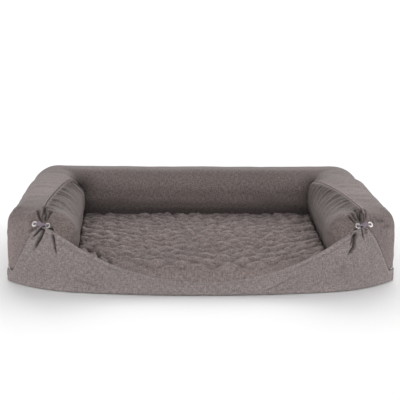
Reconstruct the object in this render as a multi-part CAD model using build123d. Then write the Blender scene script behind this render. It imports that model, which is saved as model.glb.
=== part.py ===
from build123d import *
import math
import os

# A rectangular dog bed: a quilted mattress inside a U-shaped bolster that is
# open at the front, where a plain panel swoops down from one arm to the other.
# Millimetres. X runs along the bed's length, Y to its back, Z up.
# The origin is on the floor, under the middle of the bed.

# Overall size
overall_width = 1050
overall_depth = 800
bolster_height = 205

# Plan of the whole bed
front_corner_width = 195
front_bow = 28
corner_setback = 140
back_corner_radius = 95
front_corner_radius = 14

# Plan of the bolster's arms and back
arm_width_back = 165
arm_width_front = 187
back_bolster_depth = 182
arm_end_setback = 100
arm_end_radius = 75
arm_end_turn_angle = 60

# Cloth and clearances
cloth = 2.0
fit = 0.3
stuffing_gap = 0.6
overrun = 10

# Rounding of the bolster: reach is along the floor, rise is upright
outer_round_reach = 80
outer_round_rise = 60
inner_round_reach = 60
inner_round_rise = 58
wall_draw_in = 3
stuffing_bottom_radius = 70

# Mattress
mattress_height = 78
mattress_crown = 6
mattress_front_edge_height = 38
mattress_front_radius = 54
quilt_thickness = 12
quilt_seam_height = 36
quilt_tuck = 1.0
foam_tuck = 4.3

# Base cloth and the zip groove round it
tray_wall_height = 25
groove_draw_in = 3
cover_bottom_height = 35
front_panel_end_setback = 150

# Front panel, seen from the front. Setbacks are from the bed's side
gather_setback = 102.5
gather_drop = 33
panel_tip_drop = 44
panel_tip_inner_setback = 135
panel_tip_outer_setback = 86
panel_seam_foot_setback = 18
panel_middle_height = 38
# Heights of the swooping edge, as shares of the tip's half distance and height
swoop_x_shares = (0.38, 0.64, 0.85)
swoop_height_shares = (0.34, 0.53, 0.76)

# Seam along the top of each arm, in plan
seam_back_margin = 6
seam_middle_margin = 121
seam_middle_setback = 340
seam_front_margin = 1.5

# Zip round the left, back and right sides
tape_thickness = 0.8
tape_inset = 5.3
tape_edge_gap = 0.2
lower_tape_bottom = 14
upper_tape_top = 40
chain_thickness = 1.6
chain_slit = 1.0
chain_height = 2.5
chain_middle_height = 30
zip_front_setback = 166
end_stop_length = 3
end_stop_thickness = 2.4

# Zip slider and its pull
slider_length = 14
slider_height = 9.4
slider_plate_thickness = 1.2
slider_plate_gap = 0.35
slider_web_thickness = 0.5
slider_web_length = 8
slider_corner_radius = 2
bridge_width = 2
bridge_thickness = 0.8
bridge_leg_thickness = 1.0
bridge_half_length = 2.5
pull_length = 24
pull_width = 7
pull_thickness = 1.2
pull_side_width = 1.4
pull_window_length = 6
crossbar_radius = 0.7
crossbar_gap = 0.35

# Eyelets, washers and lacing at each gather
eyelet_spacing = 41
eyelet_outer_radius = 8
eyelet_hole_radius = 4
eyelet_rim_thickness = 1.4
eyelet_wall = 0.8
eyelet_barrel_depth = 4.4
washer_thickness = 1.2
washer_depth = 2.8
lacing_radius = 2.5
lacing_front_height = 4.8
lacing_back_depth = 8.3
lacing_bend_radius = 5
pocket_depth = 11.5
pocket_radius = 9

# Values worked out from the sizes above
half_width = overall_width / 2
back_y = overall_depth / 2
front_y = -overall_depth / 2
far = overall_width
plumb = Vector(0, 0, 1)
front_half_width = half_width - front_corner_width
lying_half_width_back = half_width - arm_width_back
lying_half_width_front = half_width - arm_width_front
lying_back_y = back_y - back_bolster_depth
arm_straight_length = lying_back_y - (front_y + arm_end_setback)
arm_taper_length = lying_back_y - (front_y + front_bow)
gather_x = half_width - gather_setback
gather_height = bolster_height - gather_drop
panel_tip_height = bolster_height - panel_tip_drop
panel_tip_inner_x = half_width - panel_tip_inner_setback
panel_tip_outer_x = half_width - panel_tip_outer_setback
panel_seam_foot_x = half_width - panel_seam_foot_setback
panel_end_y = front_y + front_panel_end_setback
seam_back_x = lying_half_width_back + seam_back_margin
seam_middle_x = half_width - seam_middle_margin
seam_middle_y = front_y + seam_middle_setback
seam_front_x = gather_x + seam_front_margin
outer_round_start = bolster_height - outer_round_rise
arm_joint_y = lying_back_y - stuffing_gap
washer_radius = eyelet_outer_radius - fit

# Angles and shares at which a bolster's rounding and sides take a section
round_angles = (0, 22.5, 45, 67.5, 90)
hollow_angles = (0, 26, 53, 80)
side_ring_shares = (0, 0.33, 0.67, 1)

# The zip's rows, and where its slider and pull lie
chain_inset = tape_inset + (tape_thickness - chain_thickness) / 2
zip_x = half_width - tape_inset - tape_thickness / 2
lower_chain_top = chain_middle_height - chain_slit / 2
lower_chain_bottom = lower_chain_top - chain_height
upper_chain_bottom = chain_middle_height + chain_slit / 2
upper_chain_top = upper_chain_bottom + chain_height
lower_tape_top = lower_chain_bottom - tape_edge_gap
upper_tape_bottom = upper_chain_top + tape_edge_gap
zip_front_y = front_y + zip_front_setback
slider_y = zip_front_y + end_stop_length + fit + slider_length / 2
slider_outer_face = chain_thickness / 2 + slider_plate_gap + slider_plate_thickness
pivot_x = slider_outer_face + crossbar_gap + crossbar_radius


def flip(point):
    return Vector(-point.X, point.Y)


def arc_about(centre, radius, start, end):
    toward = ((start - centre).normalized() + (end - centre).normalized()).normalized()
    return ThreePointArc(start, centre + toward * radius, end)


# Plan curves of the bed's front: a long shallow arc, then an arc to each corner
bow_radius = (front_half_width**2 + front_bow**2) / (2 * front_bow)
bow_centre = Vector(0, front_y + bow_radius)
bow_end = Vector(front_half_width, front_y + front_bow)
front_corner = Vector(half_width, front_y + corner_setback)
to_bow_centre = (bow_centre - bow_end).normalized()
chord = front_corner - bow_end
shoulder_radius = chord.length**2 / (2 * chord.dot(to_bow_centre))
shoulder_centre = bow_end + to_bow_centre * shoulder_radius


def shoulder_y(x, inset):
    reach = math.sqrt((shoulder_radius - inset) ** 2 - (x - shoulder_centre.X) ** 2)
    return shoulder_centre.Y - reach


def bed_plan(inset):
    """The bed's plan, drawn in evenly by inset."""
    side_x = half_width - inset
    joint = bow_centre + (bow_end - bow_centre) * ((bow_radius - inset) / bow_radius)
    corner = Vector(side_x, shoulder_y(side_x, inset))
    turn = Vector(half_width - back_corner_radius, back_y - back_corner_radius)
    side_end = Vector(side_x, turn.Y)
    back_end = Vector(turn.X, back_y - inset)
    turn_radius = back_corner_radius - inset
    edges = [
        ThreePointArc(flip(joint), Vector(0, front_y + inset), joint),
        arc_about(shoulder_centre, shoulder_radius - inset, joint, corner),
        Line(corner, side_end),
        arc_about(turn, turn_radius, side_end, back_end),
        Line(back_end, flip(back_end)),
        arc_about(flip(turn), turn_radius, flip(back_end), flip(side_end)),
        Line(flip(side_end), flip(corner)),
        arc_about(flip(shoulder_centre), shoulder_radius - inset, flip(corner), flip(joint)),
    ]
    plan = make_face(edges)
    front_corners = plan.vertices().filter_by(lambda v: abs(v.Y - corner.Y) < fit)
    return fillet(front_corners, front_corner_radius)


def lying_plan(growth):
    """The lying area's plan, grown evenly into the bolster by growth, with
    flared ends that round the arms off at the front."""
    taper = math.atan((lying_half_width_back - lying_half_width_front) / arm_taper_length)
    along = Vector(-math.sin(taper), -math.cos(taper))
    across = Vector(math.cos(taper), -math.sin(taper))
    inner_corner = Vector(lying_half_width_back, lying_back_y)
    back_line = lying_back_y + growth
    edge = inner_corner + across * growth
    back_corner = edge + along * ((back_line - edge.Y) / along.Y)
    end_centre = inner_corner + along * arm_straight_length + across * arm_end_radius
    end_radius = arm_end_radius - growth
    end_start = end_centre - across * end_radius
    angle = math.pi - taper + math.radians(arm_end_turn_angle)
    end_finish = end_centre + Vector(math.cos(angle), math.sin(angle)) * end_radius
    leaving = Vector(-math.sin(angle), math.cos(angle))
    mouth_y = front_y - arm_end_radius
    mouth = end_finish + leaving * ((mouth_y - end_finish.Y) / leaving.Y)
    return make_face(
        [
            Line(flip(back_corner), back_corner),
            Line(back_corner, end_start),
            arc_about(end_centre, end_radius, end_start, end_finish),
            Line(end_finish, mouth),
            Line(mouth, flip(mouth)),
            Line(flip(mouth), flip(end_finish)),
            arc_about(flip(end_centre), end_radius, flip(end_finish), flip(end_start)),
            Line(flip(end_start), flip(back_corner)),
        ]
    )


def stack(plan, *runs):
    """Lofts through the plan at each (inset, height) ring, one per run of
    rings, joined where one run ends and the next begins."""
    form = None
    for rings in runs:
        sections = [Pos(0, 0, height) * plan(inset) for inset, height in rings]
        piece = loft(sections, ruled=len(rings) == 2)
        form = piece if form is None else form + piece
    return form


def top_rings(depth, reach, rise, angles):
    """Rings of the rounding over a bolster's edge, depth below its surface."""
    centre_height = bolster_height - rise
    rings = []
    for angle in angles:
        inset = reach - (reach - depth) * math.cos(math.radians(angle))
        rings.append((inset, centre_height + (rise - depth) * math.sin(math.radians(angle))))
    return rings


def groove_draw(height):
    """How far the cover's side is drawn in towards the zip, at a height."""
    share = (outer_round_start - height) / (outer_round_start - cover_bottom_height)
    return groove_draw_in * min(share, 1) ** 2


def side_rings(depth, bottom):
    heights = [bottom + (outer_round_start - bottom) * share for share in side_ring_shares]
    return [(depth + groove_draw(height), height) for height in heights]


def outer_form(depth):
    """Everything inside the cover's outer surface, down to the zip groove."""
    sides = side_rings(depth, cover_bottom_height)
    return stack(bed_plan, sides, top_rings(depth, outer_round_reach, outer_round_rise, round_angles))


def stuffing_outer_form(depth):
    """The stuffing's outer surface, which rounds in again above the floor."""
    turn_height = cloth + fit + stuffing_bottom_radius
    bottom = []
    for angle in reversed(round_angles):
        height = turn_height - stuffing_bottom_radius * math.sin(math.radians(angle))
        inset = stuffing_bottom_radius * (1 - math.cos(math.radians(angle)))
        bottom.append((depth + groove_draw(height) + inset, height))
    sides = side_rings(depth, turn_height)
    tops = top_rings(depth, outer_round_reach, outer_round_rise, round_angles)
    return stack(bed_plan, bottom, sides, tops)


def hollow_form(depth):
    """The space inside the bolster, grown by depth. It runs out past the
    floor, the front and the top, so that it cuts clean."""
    foot = mattress_height - quilt_thickness
    rise = bolster_height - inner_round_rise - foot
    posts = [(wall_draw_in + depth, -overrun), (wall_draw_in + depth, foot)]
    walls = [(depth + wall_draw_in * (1 - s) ** 2, foot + rise * s) for s in side_ring_shares]
    tops = top_rings(depth, inner_round_reach, inner_round_rise, hollow_angles)
    tops.append((inner_round_reach + cloth, bolster_height - depth + 2 * cloth))
    return stack(lying_plan, posts, walls, tops)


def band(inset, thickness, bottom, top):
    """An upright band that follows the bed's plan."""
    ring = bed_plan(inset) - bed_plan(inset + thickness)
    return Pos(0, 0, bottom) * extrude(ring, top - bottom)


def slab(x_low, x_high, y_low, y_high, z_low, z_high):
    size = Box(x_high - x_low, y_high - y_low, z_high - z_low)
    return Pos((x_low + x_high) / 2, (y_low + y_high) / 2, (z_low + z_high) / 2) * size


def rod(radius, bottom, top):
    return Pos(0, 0, (bottom + top) / 2) * Cylinder(radius, top - bottom)


def behind(y):
    return slab(-far, far, y, far, -far, far)


def ahead_of(y):
    return slab(-far, far, -far, y, -far, far)


def above(z):
    return slab(-far, far, -far, far, z, far)


def below(z):
    return slab(-far, far, -far, far, -far, z)


def mirrored(shape):
    return mirror(shape, about=Plane.YZ)


def front_panel_elevation(growth):
    """The front panel seen from the front, as a prism through the bed. Growth
    moves its upper edge up and outwards."""
    shift = Vector(growth, growth)
    middle = Vector(0, panel_middle_height + growth)
    tip = Vector(panel_tip_inner_x, panel_tip_height)
    swoop = [Vector(tip.X * x, tip.Y * z) for x, z in zip(swoop_x_shares, swoop_height_shares)]
    right = [point + shift for point in swoop + [tip]]
    left = [flip(point) for point in reversed(right)]
    corner_top = cover_bottom_height - fit
    corners = [
        right[-1],
        Vector(panel_tip_outer_x, panel_tip_height) + shift,
        Vector(panel_seam_foot_x, corner_top) + shift,
        Vector(half_width + overrun, corner_top + growth),
        Vector(half_width + overrun, cloth + fit),
    ]
    closing = corners + [flip(point) for point in reversed(corners)]
    edges = [Spline(*left, middle, *right)]
    edges += [Line(start, end) for start, end in zip(closing, closing[1:])]
    return extrude(Plane.XZ * make_face(edges), far, both=True)


def inner_side_of_seam(shift):
    """All that lies between the two arm seams, right of the bed's middle."""
    back = Vector(seam_back_x + shift, lying_back_y + overrun)
    middle = Vector(seam_middle_x + shift, seam_middle_y)
    front = Vector(seam_front_x + shift, front_y - overrun)
    edges = [
        ThreePointArc(back, middle, front),
        Line(front, Vector(0, front.Y)),
        Line(Vector(0, front.Y), Vector(0, back.Y)),
        Line(Vector(0, back.Y), back),
    ]
    return extrude(make_face(edges), far)


def gather_plane(along):
    """A plane on the right arm's front, square to the cover, at a distance
    along the cover from the middle of the gather."""
    sine = (gather_height - outer_round_start) / outer_round_rise
    cosine = math.sqrt(1 - sine**2)
    inset = outer_round_reach * (1 - cosine)
    radius = shoulder_radius - inset
    middle = Vector(gather_x, shoulder_y(gather_x, inset)) - shoulder_centre
    angle = math.atan2(middle.Y, middle.X) + along / radius
    outward = Vector(math.cos(angle), math.sin(angle))
    place = shoulder_centre + outward * radius + plumb * gather_height
    lean = math.atan2(sine / outer_round_rise, cosine / outer_round_reach)
    normal = outward * math.cos(lean) + plumb * math.sin(lean)
    return Plane(place, x_dir=plumb.cross(outward), z_dir=normal)


def eyelet_places():
    half_spacing = eyelet_spacing / 2
    return {"inner": gather_plane(-half_spacing), "outer": gather_plane(half_spacing)}


def cover_cloth():
    outside = outer_form(0) - hollow_form(0)
    return outside - (outer_form(cloth) - hollow_form(cloth))


def cut_for_front_panel():
    depth = cloth + groove_draw_in + 2 * fit
    zone = band(-overrun, overrun + depth, 0, bolster_height)
    return zone & front_panel_elevation(fit)


def eyelet_holes():
    hole = rod(eyelet_hole_radius + eyelet_wall + fit, -overrun, overrun)
    return [place * hole for place in eyelet_places().values()]


def back_panel(cover):
    """Outer side, top and inner face of the back bolster's cover."""
    reach = lying_half_width_back + overrun
    y_low = lying_back_y - overrun
    y_high = lying_back_y + cloth + overrun
    behind_mattress = slab(-reach, reach, y_low, y_high, -far, mattress_height + fit)
    return (cover & behind(arm_joint_y)) - behind_mattress


def arm_cover(cover):
    right_side = slab(0, far, -far, arm_joint_y - fit, -far, far)
    arm = (cover & right_side) - cut_for_front_panel()
    for hole in eyelet_holes():
        arm -= hole
    return arm


def inner_panel(arm):
    return arm & inner_side_of_seam(0) & above(mattress_height + fit)


def outer_panel(arm):
    return arm - inner_side_of_seam(fit)


def front_panel():
    strip = band(0, cloth, 0, bolster_height) & ahead_of(panel_end_y)
    return strip & front_panel_elevation(0)


def base_cloth():
    """A shallow tray: its wall goes round the left, back and right sides and
    leans in to the zip. The front panel stands in the wall's place in front."""
    outside = stack(bed_plan, [(0, 0), (groove_draw_in, tray_wall_height)])
    slope = groove_draw_in / tray_wall_height
    top = tray_wall_height + overrun
    inside = stack(bed_plan, [(cloth + slope * cloth, cloth), (cloth + slope * top, top)])
    front_wall = slab(-far, far, -far, panel_end_y + fit, cloth, far)
    return outside - inside - front_wall


def mattress_form(depth, tuck):
    """The mattress's space, from the base cloth up, lowered by depth at its
    top and front. Its sides follow the lying area, drawn in by tuck."""
    floor_height = cloth + fit
    front_edge = front_y + cloth + fit
    radius = mattress_front_radius
    edge_rise = mattress_height - mattress_front_edge_height
    run = math.sqrt(radius**2 - (radius - edge_rise) ** 2)
    turn = Vector(front_edge + run, mattress_height - radius)
    small = radius - depth
    nose = Vector(turn.X - small, turn.Y)
    brow = turn + Vector(-small, small) * math.sqrt(0.5)
    start = turn + Vector(0, small)
    end = Vector(lying_back_y + tuck, mattress_height - depth)
    middle = Vector((start.X + end.X) / 2, mattress_height + mattress_crown - depth)
    profile = [
        ThreePointArc(nose, brow, start),
        ThreePointArc(start, middle, end),
        Line(end, Vector(end.X, floor_height)),
        Line(Vector(end.X, floor_height), Vector(nose.X, floor_height)),
        Line(Vector(nose.X, floor_height), nose),
    ]
    side_view = Plane(origin=(0, 0, 0), x_dir=(0, 1, 0), z_dir=(1, 0, 0)) * make_face(profile)
    block = extrude(side_view, far, both=True)
    edge = Vector(lying_half_width_back + overrun, mattress_height - depth)
    crown = [
        ThreePointArc(flip(edge), Vector(0, middle.Y + fit), edge),
        Line(edge, Vector(edge.X, -overrun)),
        Line(Vector(edge.X, -overrun), Vector(-edge.X, -overrun)),
        Line(Vector(-edge.X, -overrun), flip(edge)),
    ]
    crosswise = extrude(Plane.XZ * make_face(crown), far, both=True)
    plan = extrude(bed_plan(cloth + fit) & lying_plan(tuck), far)
    return block & crosswise & plan


def quilted_top():
    layer = mattress_form(0, quilt_tuck) - mattress_form(quilt_thickness, quilt_tuck + overrun)
    return layer & above(quilt_seam_height)


def mattress_foam():
    body = mattress_form(quilt_thickness + fit, foam_tuck)
    nose = mattress_form(0, foam_tuck) & below(quilt_seam_height - fit)
    return body + nose


def bolster_stuffing():
    depth = cloth + stuffing_gap
    return stuffing_outer_form(depth) - hollow_form(depth)


def lacing_pocket():
    """The room that the washers and the lacing take up behind the cover."""
    half_spacing = eyelet_spacing / 2
    pocket = slab(-half_spacing, half_spacing, -pocket_radius, pocket_radius, -pocket_depth, overrun)
    for side in (-half_spacing, half_spacing):
        pocket += Pos(side, 0, 0) * rod(pocket_radius, -pocket_depth, overrun)
    return gather_plane(0) * pocket


def arm_stuffing(stuffing):
    end_y = arm_joint_y + cloth + stuffing_gap
    right_side = slab(0, far, -far, end_y - fit, -far, far)
    return (stuffing & right_side) - lacing_pocket()


def back_stuffing(stuffing):
    return stuffing & behind(arm_joint_y + cloth + stuffing_gap)


def zip_tape(bottom, top):
    return band(tape_inset, tape_thickness, bottom, top) & behind(zip_front_y)


def zip_teeth(bottom, top):
    start_y = zip_front_y + end_stop_length + fit
    return band(chain_inset, chain_thickness, bottom, top) & behind(start_y)


def zip_end_stops():
    """A block on the front end of the chain at each side of the bed."""
    half_height = chain_slit / 2 + chain_height
    half_thickness = end_stop_thickness / 2
    y_high = zip_front_y + end_stop_length
    x_low = zip_x - half_thickness
    x_high = zip_x + half_thickness
    z_low = chain_middle_height - half_height
    z_high = chain_middle_height + half_height
    stop = slab(x_low, x_high, zip_front_y, y_high, z_low, z_high)
    return [stop, mirrored(stop)]


def slider():
    """A zip slider about the chain's middle, its bridge on the +X side."""
    inner_face = chain_thickness / 2 + slider_plate_gap
    outer_face = inner_face + slider_plate_thickness
    half_length = slider_length / 2
    half_height = slider_height / 2
    tape_gap = tape_thickness / 2 + slider_plate_gap
    lip_foot = half_height - slider_plate_thickness
    body = slab(-inner_face, inner_face, *centred(slider_web_length), *centred(slider_web_thickness))
    for side in (-1, 1):
        near, far_side = sorted((side * inner_face, side * outer_face))
        plate = slab(near, far_side, -half_length, half_length, -half_height, half_height)
        body += fillet(plate.edges().filter_by(Axis.X), slider_corner_radius)
        for end in (-1, 1):
            x_low, x_high = sorted((side * tape_gap, side * outer_face))
            z_low, z_high = sorted((end * lip_foot, end * half_height))
            lip_half_length = half_length - slider_corner_radius
            body += slab(x_low, x_high, -lip_half_length, lip_half_length, z_low, z_high)
    bridge_foot = outer_face - slider_plate_gap
    bridge_roof = pivot_x + crossbar_radius + crossbar_gap
    bridge_top = bridge_roof + bridge_thickness
    half_width_z = centred(bridge_width)
    body += slab(bridge_roof, bridge_top, *centred(2 * bridge_half_length), *half_width_z)
    for end in (-1, 1):
        leg_y = end * (bridge_half_length - bridge_leg_thickness / 2)
        leg = slab(bridge_foot, bridge_top, *centred(bridge_leg_thickness), *half_width_z)
        body += Pos(0, leg_y, 0) * leg
    return body


def pull():
    """The slider's pull, lying back along +Y from its crossbar."""
    half_pull = pull_thickness / 2
    window_end = crossbar_radius + pull_window_length
    plate = slab(pivot_x - half_pull, pivot_x + half_pull, 0, pull_length, *centred(pull_width))
    far_edges = plate.edges().filter_by(Axis.X).sort_by(Axis.Y)[-2:]
    plate = fillet(far_edges, pull_width / 2 - pull_side_width)
    window_width = pull_width - 2 * pull_side_width
    plate -= slab(0, pivot_x + overrun, -overrun, window_end, *centred(window_width))
    return plate + Pos(pivot_x, 0, 0) * rod(crossbar_radius, -pull_width / 2, pull_width / 2)


def centred(length):
    return -length / 2, length / 2


def eyelet():
    barrel_radius = eyelet_hole_radius + eyelet_wall
    rim = rod(eyelet_outer_radius, fit, fit + eyelet_rim_thickness)
    rim = fillet(rim.edges().sort_by(Axis.Z)[-1], eyelet_rim_thickness / 2)
    body = rim + rod(barrel_radius, -eyelet_barrel_depth, fit + eyelet_rim_thickness / 2)
    return body - rod(eyelet_hole_radius, -overrun, overrun)


def washer():
    hole_radius = eyelet_hole_radius + eyelet_wall + fit
    disc = rod(washer_radius, -washer_depth - washer_thickness, -washer_depth)
    return disc - rod(hole_radius, -overrun, overrun)


def lacing():
    """A closed loop of cord through the two eyelets of the right arm."""
    height = lacing_front_height + lacing_back_depth
    middle = (lacing_front_height - lacing_back_depth) / 2
    plane = gather_plane(0)
    upright = Plane(plane.origin + plane.z_dir * middle, x_dir=plane.x_dir, z_dir=plane.y_dir)
    loop = upright * RectangleRounded(eyelet_spacing, height, lacing_bend_radius)
    path = loop.wire()
    start = Plane(path @ 0, z_dir=path % 0)
    return sweep(start * Circle(lacing_radius), path=path)


def save(name, *solids):
    """One STEP file for a node. Its solids carry the node's name."""
    parts = []
    for shape in solids:
        parts += shape.solids()
    node = parts[0] if len(parts) == 1 else Compound(children=parts)
    node.label = name
    export_step(node, os.path.join("parts", name + ".step"))


def save_pair(name, shape):
    save("right_" + name, shape)
    save("left_" + name, mirrored(shape))


os.makedirs("parts", exist_ok=True)

save("base_cloth", base_cloth())
save("mattress_foam", mattress_foam())
save("quilted_top", quilted_top())
save("front_panel", front_panel())

stuffing = bolster_stuffing()
save("back_bolster_stuffing", back_stuffing(stuffing))
save_pair("bolster_stuffing", arm_stuffing(stuffing))

cover = cover_cloth()
arm = arm_cover(cover)
save("back_panel", back_panel(cover))
save_pair("outer_panel", outer_panel(arm))
save_pair("inner_panel", inner_panel(arm))

save("zip_tape_lower", zip_tape(lower_tape_bottom, lower_tape_top))
save("zip_tape_upper", zip_tape(upper_tape_bottom, upper_tape_top))
save("zip_teeth_lower", zip_teeth(lower_chain_bottom, lower_chain_top))
save("zip_teeth_upper", zip_teeth(upper_chain_bottom, upper_chain_top))
save("zip_end_stops", *zip_end_stops())

slider_place = Pos(zip_x, slider_y, chain_middle_height)
save_pair("zip_slider", slider_place * slider())
save_pair("zip_pull", slider_place * pull())

for which, place in eyelet_places().items():
    save_pair(which + "_eyelet", place * eyelet())
    save_pair(which + "_washer", place * washer())
save_pair("lacing", lacing())
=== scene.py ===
"""Looks for a quilted dog bed with a U-shaped bolster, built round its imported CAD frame.

Shapes are worked out in millimetres and turned into metres when a mesh is made.
X runs along the bed, Y to its back, Z up. The origin is on the floor, under the middle.
"""

import math

import bmesh
import bpy
import numpy as np
from mathutils import Matrix, Vector
from mathutils.bvhtree import BVHTree


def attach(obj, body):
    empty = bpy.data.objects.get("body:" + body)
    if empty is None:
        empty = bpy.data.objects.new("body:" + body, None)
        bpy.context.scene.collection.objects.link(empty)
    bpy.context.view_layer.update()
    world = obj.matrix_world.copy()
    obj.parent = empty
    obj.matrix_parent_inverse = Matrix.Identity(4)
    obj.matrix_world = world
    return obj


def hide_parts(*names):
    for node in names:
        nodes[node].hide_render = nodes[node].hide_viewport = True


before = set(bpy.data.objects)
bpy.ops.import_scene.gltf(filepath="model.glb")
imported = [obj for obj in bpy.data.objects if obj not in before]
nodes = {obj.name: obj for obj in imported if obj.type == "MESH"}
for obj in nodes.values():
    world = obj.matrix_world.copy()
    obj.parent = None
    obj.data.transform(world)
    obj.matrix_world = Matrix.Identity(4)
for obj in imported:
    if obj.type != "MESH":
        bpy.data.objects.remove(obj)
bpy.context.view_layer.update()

MM = 0.001

# Plan of the bed, as in the CAD model
HALF_WIDTH = 525.0
FRONT_Y = -400.0
BACK_Y = 400.0
BOW_RADIUS = 1958.64
BOW_CENTRE_Y = FRONT_Y + BOW_RADIUS
BOW_END_X = 330.0
SHOULDER = np.array([275.06, -50.60])
SHOULDER_RADIUS = 326.06
FRONT_CORNER_RADIUS = 14.0
BACK_CORNER_RADIUS = 95.0
JOINT_Y = 217.4

# The lying area inside the bolster
INNER_CORNER = np.array([360.0, 218.0])
BACK_STRAIGHT_X = 340.0
TAPER = math.atan(22.0 / 590.0)
ALONG = np.array([-math.sin(TAPER), -math.cos(TAPER)])
ACROSS = np.array([math.cos(TAPER), -math.sin(TAPER)])
ARM_LENGTH = 518.0
ARM_END_RADIUS = 75.0
ARM_END = INNER_CORNER + ALONG * ARM_LENGTH + ACROSS * ARM_END_RADIUS

# Heights and roundings of the bolster
COVER_BOTTOM = 35.0
WALL_TOP = 146.0
TOP_RISE = 59.0
OUTER_REACH = 80.0
INNER_REACH = 60.0
RIDGE_POWER = 6.0
QUILT_FOOT = 66.0
WALL_DRAW = 3.0
GROOVE_TOP = 145.0
INNER_DRAW_REACH = 81.0

# The gather on each arm, and the seams that meet there
GATHER_X, GATHER_Y, GATHER_Z = 422.5, -331.8, 172.0
GATHER_PLACE = np.array([GATHER_X, GATHER_Y, GATHER_Z])
GATHER_ACROSS = np.array([0.8857, 0.4644, 0.0])
GATHER_OUT = np.array([0.3854, -0.7351, 0.5580])
GATHER_UP = np.cross(GATHER_OUT, GATHER_ACROSS)
EYELET_REACH = 20.5
SEAM_FOOT_X = 507.0
TUCK = 5.0

# Where each arm meets the back, in the corner of the bolster's inner face
LEFT_NOOK = (-362, 208, 188)
RIGHT_NOOK = (364, 208, 190)

# The seam along the top of each arm: distance from the middle, by place in Y
SEAM_KNOTS_Y = [-410.0, -335.0, -290.0, -200.0, -80.0, 60.0, 160.0, 228.0]
SEAM_KNOTS_X = {
    1: [424.0, 423.5, 424.0, 418.0, 405.0, 387.0, 375.0, 368.0],
    -1: [424.0, 422.5, 420.0, 420.0, 413.0, 401.0, 387.0, 372.0],
}

SIDES = ((-1, "left"), (1, "right"))
NOISE_WAVES = 14
COVER_THICKNESS = 2.0
THREAD_PITCH = 1.0 * MM
WELD_REACH = 0.02 * MM


def noise(points, wavelength, seed):
    """A smooth random field of about unit size, the same on each run."""
    rng = np.random.default_rng(seed)
    points = np.asarray(points, float)
    total = np.zeros(points.shape[:-1])
    for _ in range(NOISE_WAVES):
        direction = rng.normal(size=points.shape[-1])
        direction *= rng.uniform(0.6, 1.5) / np.linalg.norm(direction)
        phase = rng.uniform(0, 2 * math.pi)
        total += np.cos(points @ direction * (2 * math.pi / wavelength) + phase)
    return total / math.sqrt(NOISE_WAVES / 2)


def rise(value, low, high):
    """Goes smoothly from 0 at low to 1 at high."""
    t = np.clip((value - low) / (high - low), 0, 1)
    return t * t * (3 - 2 * t)


def fade(value, low, high):
    """Goes smoothly from 1 at low to 0 at high."""
    return 1 - rise(value, low, high)


def ridge(distance, middle, width):
    """A bell curve, 1 at middle."""
    return np.exp(-(((distance - middle) / width) ** 2))


def ridges(distance, profile):
    """Ridges and grooves side by side: height, middle and width of each."""
    return sum(height * ridge(distance, middle, width) for height, middle, width in profile)


def unit(vectors):
    return vectors / np.linalg.norm(vectors, axis=-1, keepdims=True)


def lengths_along(path):
    """The length of a path up to each of its points."""
    return np.concatenate([[0], np.cumsum(np.linalg.norm(np.diff(path, axis=0), axis=1))])


def smooth_curve(x, knots_x, knots_z):
    """A smooth line through knots."""
    knots_x, knots_z = np.array(knots_x, float), np.array(knots_z, float)
    slopes = np.gradient(knots_z, knots_x)
    k = np.clip(np.searchsorted(knots_x, x, side="right") - 1, 0, len(knots_x) - 2)
    h = knots_x[k + 1] - knots_x[k]
    t = np.clip((x - knots_x[k]) / h, 0, 1)
    a = (1 + 2 * t) * (1 - t) ** 2 * knots_z[k] + t * (1 - t) ** 2 * h * slopes[k]
    return a + t**2 * (3 - 2 * t) * knots_z[k + 1] + t**2 * (t - 1) * h * slopes[k + 1]


def seam_x(y, side):
    """How far the seam along an arm's top lies from the bed's middle."""
    return smooth_curve(y, SEAM_KNOTS_Y, SEAM_KNOTS_X[side])


def corner_centre(inset):
    """Centre of the small rounding at the front corner, at an inset."""
    x = HALF_WIDTH - FRONT_CORNER_RADIUS - inset
    reach = SHOULDER_RADIUS - inset - FRONT_CORNER_RADIUS
    return x, SHOULDER[1] - np.sqrt(reach**2 - (x - SHOULDER[0]) ** 2)


# The right outline's pieces, from the end of the shallow front arc: shoulder,
# front corner, side as far as the arm's joint with the back, rest of the side,
# back corner and back
BOW_END_Y = BOW_CENTRE_Y - math.sqrt(BOW_RADIUS**2 - BOW_END_X**2)
JOINT_ANGLE = math.atan2(BOW_END_Y - SHOULDER[1], BOW_END_X - SHOULDER[0])
CORNER_X, CORNER_Y = corner_centre(0.0)
CORNER_ANGLE = math.atan2(CORNER_Y - SHOULDER[1], CORNER_X - SHOULDER[0])
TURN_Y = BACK_Y - BACK_CORNER_RADIUS
TURN_X = HALF_WIDTH - BACK_CORNER_RADIUS
LENGTHS = [
    SHOULDER_RADIUS * (CORNER_ANGLE - JOINT_ANGLE),
    FRONT_CORNER_RADIUS * -CORNER_ANGLE,
    JOINT_Y - CORNER_Y,
    TURN_Y - JOINT_Y,
    BACK_CORNER_RADIUS * math.pi / 2,
    TURN_X,
]
STARTS = np.concatenate([[0], np.cumsum(LENGTHS)])
JOINT_STATION = STARTS[3]
BACK_STATION = STARTS[6]


def arc(x, y, radius, angle):
    return x + radius * np.cos(angle), y + radius * np.sin(angle)


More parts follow.
